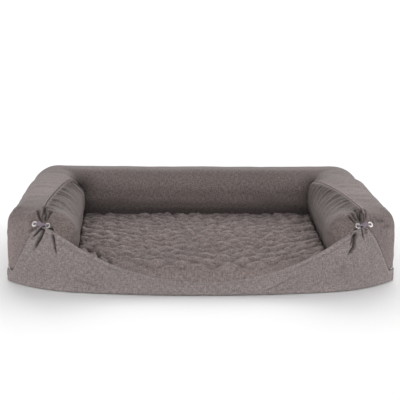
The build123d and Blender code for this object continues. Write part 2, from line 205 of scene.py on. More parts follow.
def outer_at(station, inset):
    """Plan points on the bed's right outline, drawn in by inset. The station
    runs from the end of the shallow front arc round to the middle of the back."""
    station, inset = np.broadcast_arrays(np.asarray(station, float), np.asarray(inset, float))
    x, y = corner_centre(inset)
    end_angle = np.arctan2(y - SHOULDER[1], x - SHOULDER[0])
    side_x = HALF_WIDTH - inset
    share = [(station - low) / (high - low) for low, high in zip(STARTS, STARTS[1:])]
    shoulder_angle = JOINT_ANGLE + share[0] * (end_angle - JOINT_ANGLE)
    pieces = [
        arc(*SHOULDER, SHOULDER_RADIUS - inset, shoulder_angle),
        arc(x, y, FRONT_CORNER_RADIUS, end_angle * (1 - share[1])),
        (side_x, y + share[2] * (JOINT_Y - y)),
        (side_x, JOINT_Y + share[3] * (TURN_Y - JOINT_Y)),
        arc(TURN_X, TURN_Y, BACK_CORNER_RADIUS - inset, share[4] * math.pi / 2),
        (TURN_X * (1 - share[5]), BACK_Y - inset),
    ]
    piece = np.clip(np.searchsorted(STARTS, station, side="right") - 1, 0, 5)
    return np.stack([np.choose(piece, axis) for axis in zip(*pieces)], axis=-1)


def front_at(x):
    """Y of the bed's front outline at x."""
    x = np.abs(np.asarray(x, float))
    bow = BOW_CENTRE_Y - np.sqrt(BOW_RADIUS**2 - np.minimum(x, 400) ** 2)
    reach = np.clip(x - SHOULDER[0], 0, SHOULDER_RADIUS - 1)
    shoulder = SHOULDER[1] - np.sqrt(SHOULDER_RADIUS**2 - reach**2)
    return np.where(x < BOW_END_X, bow, shoulder)


def outer_inset(points):
    """How far a plan point on the right lies inside the bed's outline."""
    x, y = points[..., 0], points[..., 1]
    side = HALF_WIDTH - x
    back = BACK_Y - y
    turn = BACK_CORNER_RADIUS - np.hypot(x - TURN_X, y - TURN_Y)
    inset = np.where((x > TURN_X) & (y > TURN_Y), turn, np.minimum(side, back))
    shoulder = SHOULDER_RADIUS - np.hypot(x - SHOULDER[0], y - SHOULDER[1])
    gap = np.clip(0.5 + 0.5 * (shoulder - inset) / 6.0, 0, 1)
    joined = shoulder * (1 - gap) + inset * gap - 6.0 * gap * (1 - gap)
    return np.where((y < SHOULDER[1]) & (x > BOW_END_X), joined, inset)


def inner_growth(points):
    """How far a plan point on the right lies outside the lying area."""
    across = (points - INNER_CORNER) @ ACROSS
    back = points[..., 1] - INNER_CORNER[1]
    gap = np.clip(0.5 + 0.5 * (across - back) / 9.0, 0, 1)
    joined = back * (1 - gap) + across * gap + 9.0 * gap * (1 - gap)
    straight = np.where((across > -40) & (back > -40), joined, np.maximum(across, back))
    local = points - ARM_END
    forward = local @ ALONG
    radius = np.linalg.norm(local, axis=-1)
    return np.where(forward > 0, ARM_END_RADIUS - radius, straight)


def top_height(outside, inside):
    """Height of the bolster's top over a plan point, from its distances to the
    outer and the inner outline. The two roundings blend in a soft ridge."""
    a = np.clip(1 - outside / OUTER_REACH, 0, 1) ** RIDGE_POWER
    b = np.clip(1 - inside / INNER_REACH, 0, 1) ** RIDGE_POWER
    fall = np.clip(1 - (a + b) ** (2 / RIDGE_POWER), 0, 1)
    return WALL_TOP + TOP_RISE * np.sqrt(fall)


def groove_draw(height):
    """How far the outer wall is drawn in at a height, most at its foot."""
    reach = GROOVE_TOP - COVER_BOTTOM
    return WALL_DRAW * np.clip((GROOVE_TOP - height) / reach, 0, 1) ** 2


def inner_draw(height):
    """How far the inner wall is drawn back at a height, most at its foot."""
    return WALL_DRAW * np.clip((WALL_TOP - height) / INNER_DRAW_REACH, 0, 1) ** 2


def resample(path, count, crowd=1.0):
    """The same path with count points, closer together towards its end where
    crowd is above 1, and how far along it each of them is."""
    run = lengths_along(path)
    if run[-1] < 1e-6:
        return np.repeat(path[:1], count, axis=0), np.zeros(count)
    wanted = run[-1] * (1 - (1 - np.linspace(0, 1, count)) ** crowd)
    return np.stack([np.interp(wanted, run, axis) for axis in path.T], axis=1), wanted


def with_heights(plan, heights):
    return np.concatenate([plan, np.broadcast_to(heights, plan.shape[:-1])[..., None]], axis=-1)


def over_top(plan):
    """Points on the bolster's top over plan points on the right."""
    return with_heights(plan, top_height(outer_inset(plan), inner_growth(plan)))


def rounding(reach, count):
    return reach * (1 - np.cos(np.linspace(0, math.pi / 2, count)))


def inset_steps(reach, count, end):
    """Distances from an edge: close together over its rounding, then even."""
    return np.concatenate([rounding(reach, count)[1:], np.arange(reach + 2, end, 2.0)])


def round_the_back(sections):
    """Sections of the right half, carried on round the back to the left."""
    return np.concatenate([sections, sections[::-1][1:] * [-1, 1, 1]])


# Meshes ---------------------------------------------------------------------


def add_object(name, data):
    obj = bpy.data.objects.new(name, data)
    bpy.context.scene.collection.objects.link(obj)
    return obj


def smooth(mesh):
    for polygon in mesh.polygons:
        polygon.use_smooth = True


def make_mesh(name, vertices, faces, uv=None):
    mesh = bpy.data.meshes.new(name)
    mesh.from_pydata((np.reshape(vertices, (-1, 3)) * MM).tolist(), [], faces)
    mesh.update()
    if uv is not None:
        layer = mesh.uv_layers.new(name="cloth")
        loops = np.zeros(len(mesh.loops), dtype=int)
        mesh.loops.foreach_get("vertex_index", loops)
        layer.data.foreach_set("uv", (np.reshape(uv, (-1, 2)) * MM)[loops].ravel())
    smooth(mesh)
    return add_object(name, mesh)


def grid_faces(columns, rows, flip=False, offset=0):
    faces = []
    for i in range(columns - 1):
        for j in range(rows - 1):
            a = offset + i * rows + j
            face = [a, a + rows, a + rows + 1, a + 1]
            faces.append(face[::-1] if flip else face)
    return faces


def tube_faces(rings, count, closed=False):
    """Faces between rings of count points each, and on to the first if closed."""
    faces = []
    for ring in range(rings if closed else rings - 1):
        low, high = ring * count, (ring + 1) % rings * count
        for k in range(count):
            n = (k + 1) % count
            faces.append([low + k, low + n, high + n, high + k])
    return faces


def weld(obj):
    """Joins vertices that meet, such as a fan's point and a shared seam."""
    bm = bmesh.new()
    bm.from_mesh(obj.data)
    bmesh.ops.remove_doubles(bm, verts=bm.verts, dist=WELD_REACH)
    bmesh.ops.dissolve_degenerate(bm, edges=bm.edges, dist=WELD_REACH)
    bm.to_mesh(obj.data)
    bm.free()
    smooth(obj.data)


def modify(obj, kind, **settings):
    """Changes the mesh by one modifier with these settings."""
    modifier = obj.modifiers.new(kind, kind)
    for key, value in settings.items():
        setattr(modifier, key, value)
    graph = bpy.context.evaluated_depsgraph_get()
    mesh = bpy.data.meshes.new_from_object(obj.evaluated_get(graph))
    obj.modifiers.clear()
    obj.data = mesh
    smooth(mesh)


def subdivide(obj):
    modify(obj, "SUBSURF", levels=1, render_levels=1, boundary_smooth="PRESERVE_CORNERS")


def thicken(obj, thickness):
    modify(obj, "SOLIDIFY", thickness=thickness * MM, offset=-1)


def vertex_values(obj, key):
    out = np.zeros(len(obj.data.vertices) * 3)
    obj.data.vertices.foreach_get(key, out)
    return out.reshape(-1, 3)


def coordinates(obj):
    return vertex_values(obj, "co") / MM


def set_coordinates(obj, points):
    obj.data.vertices.foreach_set("co", (points * MM).ravel())
    obj.data.update()


def normals(obj):
    return vertex_values(obj, "normal")


def store(obj, name, values):
    """Keeps one number per vertex, which later steps carry along."""
    attribute = obj.data.attributes.get(name) or obj.data.attributes.new(name, "FLOAT", "POINT")
    attribute.data.foreach_set("value", np.asarray(values, np.float32).ravel())


def stored(obj, name):
    values = np.zeros(len(obj.data.vertices), np.float32)
    obj.data.attributes[name].data.foreach_get("value", values)
    return values.astype(float)


# Panels of the bolster ------------------------------------------------------


def tip_angle():
    """How far round the arm's end its inner face runs before the front cuts it."""
    low, high = 0.0, math.radians(60)
    for _ in range(60):
        middle = (low + high) / 2
        spoke = -ACROSS * math.cos(middle) + ALONG * math.sin(middle)
        point = ARM_END + spoke * ARM_END_RADIUS
        if np.linalg.norm(point - SHOULDER) < SHOULDER_RADIUS - 0.5:
            low = middle
        else:
            high = middle
    return low


TIP_ANGLE = tip_angle()
INNER_LENGTH = ARM_LENGTH + ARM_END_RADIUS * TIP_ANGLE
# Beyond this run, the seam's end of each column moves evenly on to the gather
INNER_BEND = 430.0


def inner_at(run, growth):
    """Plan points on the right arm's inner face, run along it from the back."""
    run, growth = np.broadcast_arrays(np.asarray(run, float), np.asarray(growth, float))
    straight = INNER_CORNER + ALONG * run[..., None] + ACROSS * growth[..., None]
    angle = np.clip(run - ARM_LENGTH, 0, None)[..., None] / ARM_END_RADIUS
    radius = (ARM_END_RADIUS - growth)[..., None]
    turned = ARM_END + (-ACROSS * np.cos(angle) + ALONG * np.sin(angle)) * radius
    return np.where(run[..., None] <= ARM_LENGTH, straight, turned)


def panel_seam_height(x):
    """Height of the front panel's outer seam, from the gather to the corner."""
    knots_x = [GATHER_X, 431.0, 441.0, 458.0, 475.0, 492.0, SEAM_FOOT_X]
    knots_z = [GATHER_Z, 166.0, 157.0, 132.0, 101.0, 66.0, COVER_BOTTOM]
    return np.interp(x, knots_x, knots_z)


def tuck(x):
    """How far the outer panel reaches down behind the front panel."""
    return TUCK * rise(SEAM_FOOT_X - np.abs(x), 0, 8)


def outer_wall(station, bottom):
    wall = np.linspace(bottom, WALL_TOP, 40)
    return with_heights(outer_at(station, groove_draw(wall)), wall)


def outer_column(station, side):
    """The outer panel's section at a station, from its lower edge to the seam."""
    foot = outer_at(station, 0.0)
    bottom = COVER_BOTTOM
    if station < STARTS[1] and foot[0] < SEAM_FOOT_X:
        bottom = float(panel_seam_height(foot[0])) - float(tuck(foot[0]))
    insets = inset_steps(OUTER_REACH, 60, 200)
    plan = outer_at(station, insets)
    top = with_heights(plan, top_height(insets, inner_growth(plan)))
    path = np.concatenate([outer_wall(station, min(bottom, WALL_TOP)), top])
    beyond = seam_x(path[:, 1], side) - path[:, 0]
    crossing = int(np.argmax(beyond > 0)) if (beyond > 0).any() else len(path) - 1
    crossing = max(crossing, 1)
    before, after = beyond[crossing - 1], beyond[crossing]
    share = np.clip(before / (before - after) if before != after else 0, 0, 1)
    end = path[crossing - 1] + (path[crossing] - path[crossing - 1]) * share
    path = np.concatenate([path[:crossing], end[None]])
    if bottom > WALL_TOP:
        start = min(int(np.argmax(path[:, 2] >= bottom)), len(path) - 2)
        path = path[start:] if start > 0 else path[-2:]
    return path


def spaced(start, end, fine, coarse, reach):
    """Stations from start to end, fine near the start and coarse after reach."""
    out = [start]
    while out[-1] < end:
        share = min((out[-1] - start) / reach, 1.0)
        out.append(out[-1] + fine + (coarse - fine) * share)
    return np.array(out[:-1] + [end])


def arm_panel(name, side, columns, flip=False):
    """A panel of one arm. Each column has its place along the arm, its points
    from its foot to the arm's seam, and their distances along it. The vertices
    keep their distance from the seam, their place along it, and their distance
    from the panel's foot."""
    points = np.array([path for _, path, _ in columns]) * [side, 1, 1]
    uv = np.array([np.stack([np.full(len(run), at), run], axis=1) for at, _, run in columns])
    rows = points.shape[1]
    word = dict(SIDES)[side]
    faces = grid_faces(len(points), rows, flip=flip != (side < 0))
    obj = make_mesh(f"{word}_{name}_cover", points, faces, uv)
    store(obj, "seam_distance", uv[:, -1:, 1] - uv[..., 1])
    store(obj, "seam_run", np.repeat(lengths_along(points[:, -1])[:, None], rows, axis=1))
    store(obj, "foot_distance", uv[..., 1] - uv[:, :1, 1])
    return obj


def outer_panel(side, rows=56):
    start_angle = -math.acos((GATHER_X + 1.5 - SHOULDER[0]) / SHOULDER_RADIUS)
    start = SHOULDER_RADIUS * (start_angle - JOINT_ANGLE)
    columns = []
    for station in spaced(start, JOINT_STATION, 1.6, 5.2, 150.0):
        path, run = resample(outer_column(station, side), rows, 1.2)
        columns.append((station, path, run + path[0, 2]))
    return arm_panel("outer_panel", side, columns)


def inner_column(run, side):
    """The inner panel's section, from behind the quilt up to the arm's seam."""
    here = inner_at(run, 0.0)
    seam_y = here[1]
    if run >= INNER_BEND:
        share = (run - INNER_BEND) / (INNER_LENGTH - INNER_BEND)
        start_y = inner_at(INNER_BEND, 0.0)[1]
        seam_y = start_y + share * (GATHER_Y - start_y)
    seam_y = min(seam_y, JOINT_Y + 0.5)
    seam = np.array([float(seam_x(seam_y, side)), seam_y])
    wall = np.linspace(QUILT_FOOT, WALL_TOP, 30)
    growth = inner_draw(wall)
    low = with_heights(inner_at(run, growth), wall)
    low[:, 1] += growth * float(fade(run, 0, 4))
    span = np.linalg.norm(seam - here)
    insets = inset_steps(INNER_REACH, 40, 200)
    shares = np.append(insets[insets < span] / span, 1.0)
    return np.concatenate([low, over_top(here + (seam - here) * shares[:, None])])


def inner_panel(side, rows=44):
    columns = []
    for run in INNER_LENGTH - spaced(0.0, INNER_LENGTH + 5.0, 1.8, 4.6, 190.0):
        columns.append((run, *resample(inner_column(run, side), rows, 1.15)))
    return arm_panel("inner_panel", side, columns, flip=True)


def back_column(station):
    """Right half of the back panel's section at a station, to the inner edge."""
    foot = outer_at(station, 0.0)
    target = np.array([min(foot[0], INNER_CORNER[0]), INNER_CORNER[1]])
    span = np.linalg.norm(target - foot)
    insets = inset_steps(OUTER_REACH, 60, 400)
    ends = span - rounding(INNER_REACH, 30)[::-1]
    insets = np.concatenate([insets[insets < span - INNER_REACH], ends])
    plan = foot + (target - foot) * (insets / span)[:, None]
    return np.concatenate([outer_wall(station, COVER_BOTTOM), over_top(plan)])


def back_panel(rows=46, wall_rows=12):
    """The back panel: fans round the two back corners, and straight between."""
    split = BACK_STATION - INNER_CORNER[0]
    fan = np.linspace(JOINT_STATION, split, 46)
    stations = np.concatenate([fan, np.linspace(split, BACK_STATION, 50)[1:]])
    half, runs = zip(*[resample(back_column(station), rows) for station in stations])
    top = round_the_back(np.array(half))
    runs = np.concatenate([runs, runs[::-1][1:]])
    along = np.concatenate([stations, 2 * BACK_STATION - stations[::-1][1:]])
    uv = np.stack([np.repeat(along[:, None], rows, axis=1), runs], axis=-1)
    wall_z = np.linspace(WALL_TOP, QUILT_FOOT, wall_rows)
    growth = inner_draw(wall_z)
    wall, wall_uv = [], []
    for k in range(len(fan) - 1, len(top) - len(fan) + 1):
        beside_arm = abs(top[k, -1, 0]) > BACK_STRAIGHT_X
        x = top[k, -1, 0] * (1 + growth / INNER_CORNER[0] * beside_arm)
        wall.append(np.stack([x, INNER_CORNER[1] + growth, wall_z], axis=1))
        drop = runs[k, -1] + (WALL_TOP - wall_z)
        wall_uv.append(np.stack([np.full(wall_rows, along[k]), drop], axis=1))
    faces = grid_faces(len(top), rows)
    faces += grid_faces(len(wall), wall_rows, offset=len(top) * rows)
    points = np.concatenate([top.reshape(-1, 3), np.reshape(wall, (-1, 3))])
    flat = np.concatenate([uv.reshape(-1, 2), np.reshape(wall_uv, (-1, 2))])
    return make_mesh("back_panel_cover", points, faces, flat)


# Front panel ----------------------------------------------------------------

PANEL_FOOT = 2.5
EDGE_X = [-100, 0, 100, 150, 200, 250, 294, 330, 360, 399, GATHER_X]
EDGE_Z = [45, 39, 45, 54, 67, 85, 105, 123, 141, 163, GATHER_Z]


def panel_edge_height(x):
    """Height of the front panel's upper edge."""
    x = np.abs(x)
    inner = smooth_curve(np.minimum(x, GATHER_X), EDGE_X, EDGE_Z)
    return np.where(x <= GATHER_X, inner, panel_seam_height(x))


def front_panel(rows=46):
    """The front panel, in columns from the left corner to the right one: its
    face, the roll over its upper edge, and a strip behind that."""
    bow = np.arange(0.0, BOW_END_X, 6.0)
    shoulder = [np.arange(0.0, 146.0, 2.0), spaced(146.0, STARTS[2] + 5.0, 4.0, 4.0, 1.0)]
    right = [np.stack([bow, front_at(bow)], axis=1), outer_at(np.concatenate(shoulder), 0.0)]
    right = np.concatenate(right)
    plan = np.concatenate([right[::-1][:-1] * [-1, 1], right])
    along = lengths_along(plan)
    turn = np.linspace(0, math.pi, 7)[1:]
    points, uv = [], []
    for k, place in enumerate(plan):
        x = abs(place[0])
        top = float(panel_edge_height(x)) if place[1] < CORNER_Y else COVER_BOTTOM - 0.3
        tangent = plan[min(k + 1, len(plan) - 1)] - plan[max(k - 1, 0)]
        inward = np.array([-tangent[1], tangent[0]]) / np.linalg.norm(tangent)
        thick = 2.5 + 5.0 * float(rise(x, 90, 180) * fade(x, 350, 385))
        thick += 11.0 * float(fade(x, 60, 200))
        thick += 9.0 * float(rise(x, 290, 345) * fade(x, 392, 418))
        face_z = np.linspace(PANEL_FOOT, top - thick / 2, rows)
        share = (face_z - PANEL_FOOT) / max(top - PANEL_FOOT, 1)
        bulge = 1.8 * np.sin(math.pi * np.clip(share, 0, 1)) * fade(x, 395, 470)
        face = with_heights(place - inward * bulge[:, None], face_z)
        roll = place + inward * (thick / 2 * (1 - np.cos(turn)))[:, None]
        over = with_heights(roll, top - thick / 2 + thick / 2 * np.sin(turn))
        back_z = np.linspace(top - thick / 2, max(top - 60, 4.0), 9)[1:]
        behind = with_heights(np.repeat([place + inward * thick], 8, axis=0), back_z)
        path = np.concatenate([face, over, behind])
        points.append(path)
        uv.append(np.stack([np.full(len(path), along[k]), lengths_along(path)], axis=1))
    return make_mesh("front_panel_cover", points, grid_faces(len(points), len(path)), uv)


# Mattress -------------------------------------------------------------------

MATTRESS_TOP = 78.0
NOSE_Y = -345.55
NOSE_RADIUS = 54.0
DIAMOND_WIDTH = 76.0
DIAMOND_DEPTH = 47.0
DIAMOND_TURN = math.radians(-3.5)
PILLOW_HEIGHT = 12.0
WRINKLE_HEIGHT = 2.4
QUILT_FRONT_Y = -357.0
QUILT_BACK_Y = JOINT_Y - 1.0
QUILT_REACH = 371.0
QUILT_TURN = 15.0
QUILT_OVERLAP = 3.5
SKIRT_LEVELS = (0.25, 0.5, 0.75, 1.0)
SKIRT_FOOT = 30.0


def mattress_half_width(y):
    """Half the lying area's width: it narrows towards the front, until the
    rounded ends of the arms turn away from it."""
    forward = np.clip(ARM_END[1] - y, 0, 60)
    straight = INNER_CORNER[0] + (y - INNER_CORNER[1]) * math.tan(TAPER)
    rounded = ARM_END[0] - np.sqrt(ARM_END_RADIUS**2 - forward**2)
    return np.where(y > ARM_END[1] - 3, straight, rounded) - 1.0


def mattress_height(x, y):
    """Height of the foam's crowned top, which rounds down to its front."""
    crown = 6.0 * (1 - (x / 372) ** 2) * np.clip(1 - ((y + 63) / 282) ** 2, 0, 1)
    nose = np.clip(NOSE_Y - y, 0, NOSE_RADIUS - 0.1)
    return MATTRESS_TOP + crown - (NOSE_RADIUS - np.sqrt(NOSE_RADIUS**2 - nose**2))


def quilting(x, y):
    """Height of the quilting's pillows above its sewn lines, in millimetres."""
    place = np.stack([x, y], axis=-1)
    wx = x + 3.0 * noise(place, 120, 11)
    wy = y + 2.4 * noise(place, 110, 12)
    turned_x = wx * math.cos(DIAMOND_TURN) - wy * math.sin(DIAMOND_TURN)
    turned_y = wx * math.sin(DIAMOND_TURN) + wy * math.cos(DIAMOND_TURN)
    across, down = turned_x / DIAMOND_WIDTH, turned_y / DIAMOND_DEPTH
    puff = np.abs(np.sin(math.pi * (across + down))) * np.abs(np.sin(math.pi * (across - down)))
    puff = np.sqrt(puff + 1e-9)
    lively = 1 + 0.22 * noise(place, 60, 13)
    crinkle = noise(place * [0.45, 1], 15, 14)
    wide = ridge(noise(place * [0.3, 1], 52, 15), 0, 0.20)
    thin = ridge(noise(place * [0.2, 1], 34, 16), 0, 0.16)
    wrinkle = (wide + 0.8 * thin) * (0.3 + puff)
    return PILLOW_HEIGHT * puff**0.85 * lively + crinkle + WRINKLE_HEIGHT * wrinkle


# Creases pressed into the quilt beside the front panel, in plan, on the left
QUILT_CREASES = [
    [(-352, -100), (-338, -170), (-324, -222)],
    [(-312, -222), (-303, -258), (-292, -286)],
    [(-284, -262), (-272, -330), (-263, -376)],
    [(-252, -330), (-240, -368)],
]


def crease_depth(x, y):
    """How deep the creases are at each plan point, from 0 to 1."""
    place = np.stack([x, y], axis=-1).reshape(-1, 2)
    flat = np.concatenate([place, np.zeros((len(place), 1))], axis=1)
    up = np.array([[0.0, 0.0, 1.0]])
    depth = np.zeros(len(place))
    for path in QUILT_CREASES:
        distance, along = line_distance(flat, up, [(a, b, 0.0) for a, b in path])
        valley = ridge(distance, 0, 5.5) * fade(along, 0.75, 1.0)
        depth = np.maximum(depth, valley * rise(along, -0.3, 0.2))
    return depth.reshape(x.shape)


def quilted_top(columns=250, rows=240):
    """The quilted top: its upper side, and a skirt down from its rim. Its
    shadow is deep in the seams, and under the bolster's overhang."""
    t = np.linspace(0, 1, rows)
    grid_u, grid_t = np.meshgrid(np.linspace(-1, 1, columns), t, indexing="ij")
    y_line = QUILT_FRONT_Y + (QUILT_BACK_Y - QUILT_FRONT_Y) * t
    reach = grid_u * QUILT_REACH
    front = front_at(reach) + 2.4 + 5.0 * rise(np.abs(reach), 150, 230)
    y = front + (QUILT_BACK_Y - front) * grid_t
    x = grid_u * (mattress_half_width(y_line)[None, :] + QUILT_OVERLAP)
    edge = (1 - np.abs(grid_u)) * 350.0
    back = JOINT_Y - y
    turned = np.clip(QUILT_TURN - edge, 0, QUILT_TURN - 0.3)
    drop = QUILT_TURN - np.sqrt(QUILT_TURN**2 - turned**2)
    plain = rise(y - front, 8, 30) * (0.12 + 0.88 * rise(back, 4, 60))
    pillows = quilting(x, y)
    creases = crease_depth(x, y)
    z = mattress_height(x, y) - drop - 6.0 + pillows * plain * rise(edge, 1, 12)
    z += 4.0 * (1 - plain) - 8.0 * fade(back, 0, 26) - 9.0 * creases
    # Painted shade in pockets along the arms' edges, under the bolster's overhang and in the
    # creases
    pockets = 0.55 + 0.45 * np.cos(2 * math.pi * (y + 12 * np.sign(x)) / DIAMOND_DEPTH)
    shadow = 0.75 * pockets * fade(edge, 4, 26) * rise(y, -340, -280)
    shadow = np.maximum(shadow, 0.3 * fade(back, 4, 46))
    shadow = np.maximum(shadow, 0.9 * creases)
    # Painted shadow in a patch at the left front, and painted shade beside the arms
    shadow += 0.2 * ridge(x, -275, 45.0) * ridge(y, -215, 60.0)
    shadow += 0.3 * fade(edge, 8, 100) * rise(y, -120, 120)
    # Painted shade in the sewn valleys, and painted light on the pillows' tops
    shadow += np.clip(0.42 - 0.055 * pillows, -0.3, 0.4) * plain
    index = np.arange(columns * rows).reshape(columns, rows)
    rim = np.concatenate([index[:, 0], index[-1, 1:], index[-2::-1, -1], index[0, -2:0:-1]])
    upper = np.stack([x, y, z], axis=-1).reshape(-1, 3)
    vertices, faces = [upper], grid_faces(columns, rows)
    previous = rim
    for k, level in enumerate(SKIRT_LEVELS):
        ring = upper[rim].copy()
        ring[:, 2] += (SKIRT_FOOT - ring[:, 2]) * level
        vertices.append(ring)
        current = len(upper) + k * len(rim) + np.arange(len(rim))
        band = [previous, current, np.roll(current, -1), np.roll(previous, -1)]
        faces += np.stack(band, axis=1).tolist()
        previous = current
    vertices = np.concatenate(vertices)
    obj = make_mesh("quilted_mattress_top", vertices, faces, vertices[:, :2])
    skirt_shadow = np.full(len(vertices) - len(upper), 0.5)
    store(obj, "shadow", np.clip(np.concatenate([shadow.ravel(), skirt_shadow]), -1, 1))
    return obj


# Folds ----------------------------------------------------------------------

# Creases in the cloth: depth, half width, and the line that each follows.
# Those with a negative depth stand up as ridges.
FOLDS = [
    (8.5, 4.2, [(-418, -273, 204), (-415, -307, 195), (-411, -330, 178)]),
    (5.0, 3.4, [(-399, -298, 199), (-403, -316, 192), (-406, -330, 180)]),
    (4.5, 3.6, [(-434, -290, 195), (-424, -322, 180), (-421, -330, 174)]),
    (6.0, 3.2, [(-418, -338, 167), (-434, -333, 149), (-450, -325, 131)]),
    (8.5, 4.0, [(-410, -344, 168), (-421, -339, 141), (-430, -335, 124), (-443, -331, 99)]),
    (8.0, 3.0, [(-392, -349, 166), (-386, -356, 143), (-383, -357, 120), (-378, -360, 92)]),
    (2.5, 3.6, [(-436, -328, 163), (-464, -314, 143)]),
    (9.0, 4.4, [(420, -284, 201), (416, -309, 192), (414, -332, 177)]),
    (6.0, 3.6, [(392, -306, 199), (401, -336, 180)]),
    (5.5, 3.2, [(406, -280, 204), (409, -327, 183)]),
    (5.0, 3.4, [(382, -326, 190), (398, -340, 175)]),
    (4.5, 3.2, [(431, -286, 199), (424, -324, 179)]),
    (8.5, 4.0, [(402, -344, 169), (390, -356, 149), (383, -357, 133)]),
    (9.0, 4.0, [(395, -352, 160), (392, -354, 139), (389, -354, 120), (370, -359, 96)]),
    (7.0, 3.0, [(415, -344, 169), (422, -340, 134)]),
    (5.0, 2.8, [(388, -356, 150), (384, -356, 136), (380, -357, 122)]),
    (2.4, 4.4, [(455, -306, 176), (488, -288, 170)]),
    (2.4, 4.4, [(483, -296, 161), (514, -268, 155)]),
    (4.0, 6.0, [(368, -361, 68), (348, -368, 42)]),
    (2.0, 5.5, [(157, -390, 6), (202, -387, 31), (237, -383, 46), (278, -379, 65)]),
    (-2.6, 4.5, [(173, -390, 8), (224, -386, 26), (268, -380, 44)]),
    (-2.0, 4.0, [(165, -390, 20), (214, -386, 42), (250, -381, 58)]),
    (1.8, 5.5, [(-326, -372, 30), (-289, -378, 18), (-252, -384, 4)]),
    (-2.6, 4.5, [(-318, -374, 40), (-278, -380, 27), (-240, -385, 12)]),
    (-2.2, 4.0, [(-330, -372, 56), (-300, -378, 44), (-262, -382, 26)]),
    (-2.4, 10.0, [(-372, -360, 120), (-364, -362, 70), (-366, -362, 34)]),
    (2.4, 9.0, [(-410, -346, 96), (-414, -343, 60), (-420, -340, 30)]),
    (-2.0, 10.0, [(404, -349, 118), (402, -350, 80), (398, -352, 40)]),
    (2.2, 10.0, [(428, -336, 108), (438, -330, 72), (444, -326, 40)]),
    (-1.8, 12.0, [(330, -372, 112), (318, -374, 70), (312, -376, 30)]),
    (1.8, 10.0, [(100, -396, 42), (86, -396, 20), (80, -397, 4)]),
    (1.6, 10.0, [(-90, -396, 42), (-110, -396, 20), (-116, -396, 4)]),
    (2.0, 7.0, [(20, -399, 36), (34, -399, 8)]),
]
# No fold or gather reaches further than this from its middle
RELIEF_REACH = 130
# A point this far above or below a fold's line lies on another layer of cloth
SAME_LAYER = 16
FAR = 1e9


def line_distance(points, outward, path):
    """Distance from each point to a line along the cloth, and how far along it,
    from 0 to 1. Height above the cloth doesn't count."""
    path = np.array(path, float)
    lengths = np.linalg.norm(np.diff(path, axis=0), axis=1)
    starts = np.concatenate([[0], np.cumsum(lengths)])
    best = np.full(len(points), FAR)
    along = np.zeros(len(points))
    for k, length in enumerate(lengths):
        step = path[k + 1] - path[k]
        t = np.clip(((points - path[k]) @ step) / length**2, 0, 1)
        apart = points - path[k] - t[:, None] * step
        height = np.sum(apart * outward, axis=1)
        flat = np.linalg.norm(apart - height[:, None] * outward, axis=1)
        flat = np.where(np.abs(height) > SAME_LAYER, FAR, flat)
        nearer = flat < best
        best = np.where(nearer, flat, best)
        along = np.where(nearer, (starts[k] + t * length) / starts[-1], along)
    return best, along


def fold_relief(points, outward):
    """Height of the folds at each point, and the painted shade in their valleys."""
    relief, shadow = np.zeros(len(points)), np.zeros(len(points))
    for depth, width, path in FOLDS:
        near = np.linalg.norm(points - np.mean(path, axis=0), axis=1) < RELIEF_REACH
        distance, along = line_distance(points[near], outward[near], path)
        reach = width * (1.05 - 0.45 * along)
        strength = depth * rise(along, -0.3, 0.12) * fade(along, 0.6, 1.0)
        lips = ridge(distance, 2.2 * reach, 1.2 * reach)
        relief[near] += strength * (0.25 * lips - 1.05 * ridge(distance, 0, reach))
        if width < 5:
            dark = np.minimum(0.17 * strength, 1.0) * ridge(distance, 0, 1.1 * reach)
            shadow[near] = np.maximum(shadow[near], dark)
    return relief, shadow


def from_gather(points):
    """Where points lie from the middle of the gather on their own side."""
    return points * [0, 1, 1] + np.abs(points) * [1, 0, 0] - GATHER_PLACE


def gather_relief(points):
    """The cloth of each arm is drawn in towards its lacing, in fine pleats."""
    local = from_gather(points)
    a = local @ GATHER_ACROSS
    b = local @ GATHER_UP
    side = np.sign(points[:, 0])
    fan = a / (13.0 + 0.62 * np.abs(b))
    fall = np.exp(-np.abs(b) / np.where(b > 0, 30.0, 34.0))
    wobble = 0.9 * noise(np.stack([a, b, 40 * side], axis=1), 34, 41)
    phase = 2 * math.pi * (2.3 * fan + 0.13 * side) + wobble
    near = np.linalg.norm(local, axis=1) < RELIEF_REACH
    drawn = 5.0 * ridge(a, 0, 15.0) * ridge(b, 0, 42.0)
    swollen = 3.0 * ridge(np.abs(a), 36, 20.0) * ridge(b, 10, 46.0)
    relief = 1.5 * fall * fade(np.abs(fan), 0.75, 1.6) * np.cos(phase) - drawn + swollen
    return np.where(near, relief, 0.0)


def eyelet_guard(points):
    """1 away from the eyelets, falling to 0 where their rims lie on the cloth."""
    local = from_gather(points)
    guard = np.ones(len(points))
    for reach in (-EYELET_REACH, EYELET_REACH):
        distance = np.linalg.norm(local - GATHER_ACROSS * reach, axis=1)
        guard *= rise(distance, 8.0, 14.0)
    return guard


def slow_waves(points, height):
    """Gentle unevenness of stuffed cloth."""
    return height * (0.7 * noise(points, 210, 51) + 0.3 * noise(points, 80, 52))


def move_out(obj, relief, outward, shadow):
    """Moves the cloth along its normals. The material darkens where shadow is
    above 0, painted shade as in a fold, and lightens where it is below, painted light as on a
    raised seam."""
    set_coordinates(obj, coordinates(obj) + outward * relief[:, None])
    store(obj, "shadow", np.clip(shadow, -1, 1))


# Sections across seams and hems, by distance from the seam or the edge
ARM_SEAM = ((1.6, 3.6, 2.0), (0.8, 9.5, 2.0), (-2.2, 0.0, 1.8), (-0.7, 6.6, 1.3))
INNER_SEAM = ((0.9, 3.4, 1.8), (-2.4, 0.0, 1.8))
OUTER_HEM = ((1.0, 5.0, 2.2), (-1.8, 0.0, 2.0))
BACK_HEM = ((1.0, 5.0, 2.2), (-1.6, 0.0, 2.0))
PANEL_TOP_HEM = ((1.2, 5.0, 2.6), (-0.8, 10.0, 1.8))
PANEL_FOOT_HEM = ((0.9, 7.0, 2.5), (-0.9, 12.0, 2.0))
